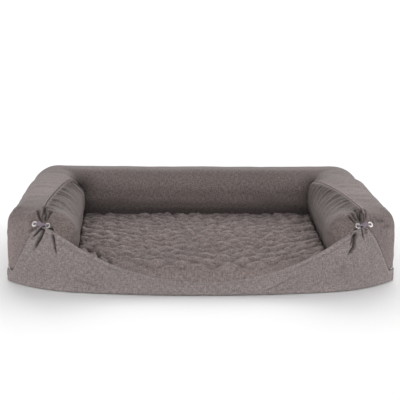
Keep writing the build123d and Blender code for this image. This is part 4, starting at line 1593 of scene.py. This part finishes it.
arm_lines, edge_lines = [], []
y = np.linspace(JOINT_Y - 8, -300, 120)
for side, _ in SIDES:
    for apart in ARM_STITCHES:
        plan = np.stack([seam_x(y, side) + apart, y], axis=1)
        arm_lines.append(over_top(plan) * [side, 1, 1])
x = np.arange(-400, 400, 8.0)
edge_lines.append(np.stack([x, front_at(x), panel_edge_height(x) - EDGE_STITCHES], axis=1))
x = np.linspace(GATHER_X + 12, SEAM_FOOT_X - 3, 60)
for side, _ in SIDES:
    height = panel_seam_height(x) - SLANTED_STITCHES
    edge_lines.append(np.stack([x * side, front_at(x), height], axis=1))
hems = {}
for word, inset, height in (("cover", 0.0, COVER_BOTTOM + 8.5), ("base", 1.5, TRAY_TOP - 5.0)):
    plan = outer_at(side_stations(TRAY_FRONT_Y + 4), inset)
    hems[word] = [round_the_back(with_heights(plan, height))]
arm_covers = [obj for (_, kind), obj in covers.items() if kind != "back"]
SEWING = [
    ("arm_seam_stitches", arm_lines, arm_covers, "cover_cloth"),
    ("cover_hem_stitches", hems["cover"], covers.values(), "cover_cloth"),
    ("base_hem_stitches", hems["base"], [tray_wall], "base_cloth"),
    ("front_panel_stitches", edge_lines, [front], "cover_cloth"),
]
for name, lines, surfaces, slot in SEWING:
    place(stitches(name, lines, surfaces), thread, slot)

# Stage, lights and camera ---------------------------------------------------

scene = bpy.context.scene
bpy.ops.mesh.primitive_plane_add(size=400, location=(0, 0, -0.0003))
floor = bpy.context.object
floor.name = "floor"
ground = Nodes("floor_white")
speck = ground.add("TexNoise", Scale=3.0, Detail=2.0).outputs["Fac"]
whites = [(0.3, (0.83, 0.827, 0.83, 1)), (0.7, (0.85, 0.847, 0.85, 1))]
shine = {"Roughness": 0.9, "Specular IOR Level": 0.1}
dress(floor, ground.finish({"Base Color": ground.ramp(speck, whites), **shine}))

world = bpy.data.worlds.new("studio")
scene.world = world
world.use_nodes = True
background = world.node_tree.nodes["Background"]
background.inputs["Color"].default_value = WHITE
background.inputs["Strength"].default_value = 0.3
scene.view_settings.view_transform = "Standard"

SOFTBOX_ANGLE = math.radians(60)
SOFTBOXES = [
    ("front_softbox", 1.62, (0.0, -1.0, 0.5)),
    ("left_softbox", 1.48, (-1.0, 0.0, 0.14)),
    ("right_softbox", 1.60, (1.0, 0.0, 0.14)),
    ("back_softbox", 1.80, (0.0, 1.0, 0.38)),
    ("high_softbox", 1.40, (0.2, 1.0, 1.1)),
]
for light_name, energy, towards in SOFTBOXES:
    sun_data = bpy.data.lights.new(light_name, "SUN")
    sun_data.energy = energy
    sun_data.angle = SOFTBOX_ANGLE
    sun = add_object(light_name, sun_data)
    sun.rotation_euler = Vector(towards).to_track_quat("Z", "Y").to_euler()

CAMERA_PLACE = Vector((-0.0987, -2.8678, 0.7963))
CAMERA_YAW = 0.03509
CAMERA_PITCH = 0.21604
CAMERA_ROLL = 0.00995
camera_data = bpy.data.cameras.new("camera")
camera_data.lens = 90
camera_data.sensor_width = 36
camera = add_object("camera", camera_data)
aim = Matrix.Rotation(-CAMERA_YAW, 4, "Z") @ Matrix.Rotation(math.pi / 2 - CAMERA_PITCH, 4, "X")
aim = aim @ Matrix.Rotation(CAMERA_ROLL, 4, "Z")
camera.matrix_world = Matrix.Translation(CAMERA_PLACE) @ aim
scene.camera = camera
